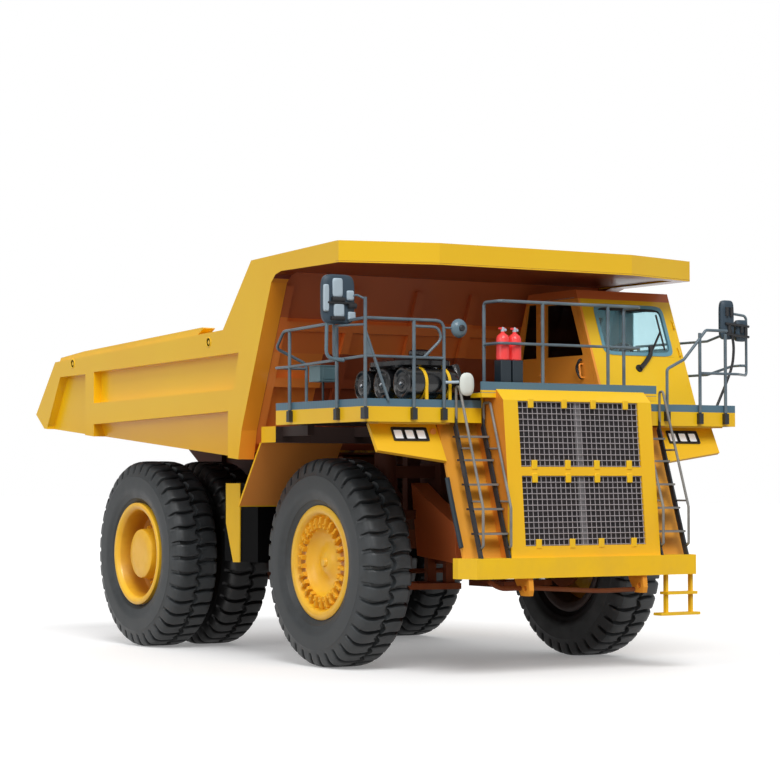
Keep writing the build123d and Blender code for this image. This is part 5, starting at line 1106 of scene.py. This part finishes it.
piece("door_catch", tube(catch, 0.02), plastic, body="cab_door")


def cushion(half_a, half_b, thick, crown, n=26):
    """Crowned pad on an n by n grid: its top swells by cosine across, times the root of a fall to the rim of
    power 4, with two seam grooves along it and one across. Its corners are drawn in and its underside
    bulges by a fifth of the crown."""
    u = np.linspace(-1, 1, n)
    a, b = np.meshgrid(u, u, indexing="ij")
    fall = (1 - a ** 4) * (1 - b ** 4)
    seam = np.exp(-((np.abs(a) - 0.45) / 0.05) ** 2) * 0.012 + np.exp(-((b - 0.1) / 0.05) ** 2) * 0.01
    high = thick / 2 + crown * fall ** 0.5 * np.cos(a * 1.2) - seam * fall
    low = -thick / 2 - 0.2 * crown * fall ** 0.5
    drawn_in = 1 - 0.06 * a ** 4 * b ** 4
    shape = join([grid(np.stack([a * half_a * drawn_in, b * half_b * drawn_in, height], -1))
                  for height in (high, low)])
    index = np.arange(n * n).reshape(n, n)
    rim = np.concatenate([index[:-1, 0], index[-1, :-1], index[:0:-1, -1], index[0, :0:-1]])
    wall = np.stack([rim, np.roll(rim, -1), np.roll(rim, -1) + n * n, rim + n * n], -1)
    return shape[0], shape[1] + wall.tolist()


BACK_AXES = ((1, 0, 0), (0, 0.12, 1), (0, -1, 0.12))
for name, shape, stands_for in (
        ("seat_cushion", placed(cushion(0.23, 0.245, 0.13, 0.035), (1.99, -2.805, 3.77), UP),
         ["operator_seat"]),
        ("seat_back", placed(cushion(0.22, 0.29, 0.1, 0.03), (1.99, -2.6, 4.15), BACK_AXES), [])):
    soft = piece(name, shape, fabric, stands_for, sharp=60)
piece("seat_base", boxes([((1.8, 2.18), (-3.0, -2.6), (3.52, 3.7)),
                          ((1.86, 2.12), (-2.95, -2.65), (3.4, 3.52))]), plastic, bevel=0.02)

# ==== Tank bracket, hose and small fittings
piece("switch_box", boxes([((-2.83, -2.56), (-3.52, -3.25), (3.645, 3.845)),
                           ((-2.836, -2.554), (-3.526, -3.244), (3.836, 3.852)),
                           ((-2.79, -2.6), (-3.53, -3.515), (3.675, 3.815))]), box_paint, ["control_box"],
      bevel=0.006)
piece("switch_box_post", tube([(-2.7, -3.38, DECK_Z), (-2.7, -3.38, 3.65)], 0.016), stand_paint)
bracket = [(0.113, 2.375), (-0.294, 2.375), (-0.297, 2.046), (-0.287, 1.292), (-0.1, 1.287), (0.109, 1.82)]
piece("tank_bracket", prism(bracket, -2.216, -2.196), yellow, bevel=0.004)
cross = rounded([(-1.375, -5.12, 1.17), (-1.22, -5.13, 1.08), (-0.78, -5.13, 1.085), (0.3, -5.13, 1.02),
                 (0.93, -5.13, 1.03)], 0.15)
# brown painted shade on the line between the hooks
piece("hook_line", tube(cross, 0.03), frame_shade_brown)
grab = rounded([(-1.74, -4.751, 2.439), (-1.74, -4.884, 2.048), (-1.74, -5.06, 1.589)], 0.3, 6)
piece("grab_hose", tube(grab, 0.03), stand_paint)

# ==== Floor, lights and camera
scene = bpy.context.scene
FLOOR_SEEN, FLOOR_GLOW = (0.86, 0.86, 0.86), (0.22, 0.22, 0.22)


def stage_floor():
    """Wide floor that looks white to the camera and in reflections, and throws earth-coloured light back
    up at the truck."""
    mesh = bpy.data.meshes.new("floor")
    mesh.from_pydata([(-150, -60, 0), (150, -60, 0), (150, 400, 0), (-150, 400, 0)], [], [[0, 1, 2, 3]])
    obj = bpy.data.objects.new("floor", mesh)
    scene.collection.objects.link(obj)
    f = Finish("floor", srgb(176, 150, 126), Roughness=0.9)
    seen = f.rays("Camera", "Glossy", "Transmission")
    f.put(**{"Base Color": f.mix(seen, srgb(136, 118, 102), FLOOR_SEEN),
             "Emission Color": f.mix(seen, (0, 0, 0), FLOOR_GLOW), "Emission Strength": 1.0})
    mesh.materials.append(f.material)


def sky():
    """White to the camera and through glass, plain soft light at half that strength for the rest."""
    world = bpy.data.worlds.new("studio")
    scene.world = world
    world.use_nodes = True
    nodes = Nodes(world.node_tree)
    back = nodes.tree.nodes["Background"]
    nodes.feed(back.inputs["Color"], (1.0, 1.0, 1.0))
    nodes.feed(back.inputs["Strength"], 0.5 + nodes.rays("Camera", "Transmission") * 0.5)


def sun(name, towards, strength, width):
    """Sun lamp shining towards a direction, as wide as an angle in degrees."""
    lamp_data = bpy.data.lights.new(name, "SUN")
    lamp_data.energy, lamp_data.angle = strength, math.radians(width)
    obj = bpy.data.objects.new(name, lamp_data)
    obj.rotation_mode = "QUATERNION"
    obj.rotation_quaternion = Vector(towards).to_track_quat("-Z", "Y")
    scene.collection.objects.link(obj)


stage_floor()
sky()
sun("key_light", (0.3, 0.75, -0.85), 1.9, 30)
sun("side_light", (0.95, 0.15, -0.45), 0.7, 40)
sun("back_light", (-0.35, -0.85, -0.5), 0.5, 50)

YAW, PITCH_UP, ROLL = math.radians(31.983), math.radians(2.206), math.radians(0.054)
LENS_MM, SENSOR_MM = 111.16, 36.0
camera = bpy.data.objects.new("camera", bpy.data.cameras.new("camera"))
camera.data.sensor_width, camera.data.lens = SENSOR_MM, LENS_MM
camera.data.clip_start, camera.data.clip_end = 1.0, 1000.0
camera.location = (-17.995, -29.459, 2.38)
look = Vector((math.sin(YAW) * math.cos(PITCH_UP), math.cos(YAW) * math.cos(PITCH_UP), math.sin(PITCH_UP)))
camera.rotation_mode = "QUATERNION"
camera.rotation_quaternion = Quaternion(look, ROLL) @ look.to_track_quat("-Z", "Y")
scene.collection.objects.link(camera)
scene.camera = camera
scene.view_settings.view_transform = "Standard"
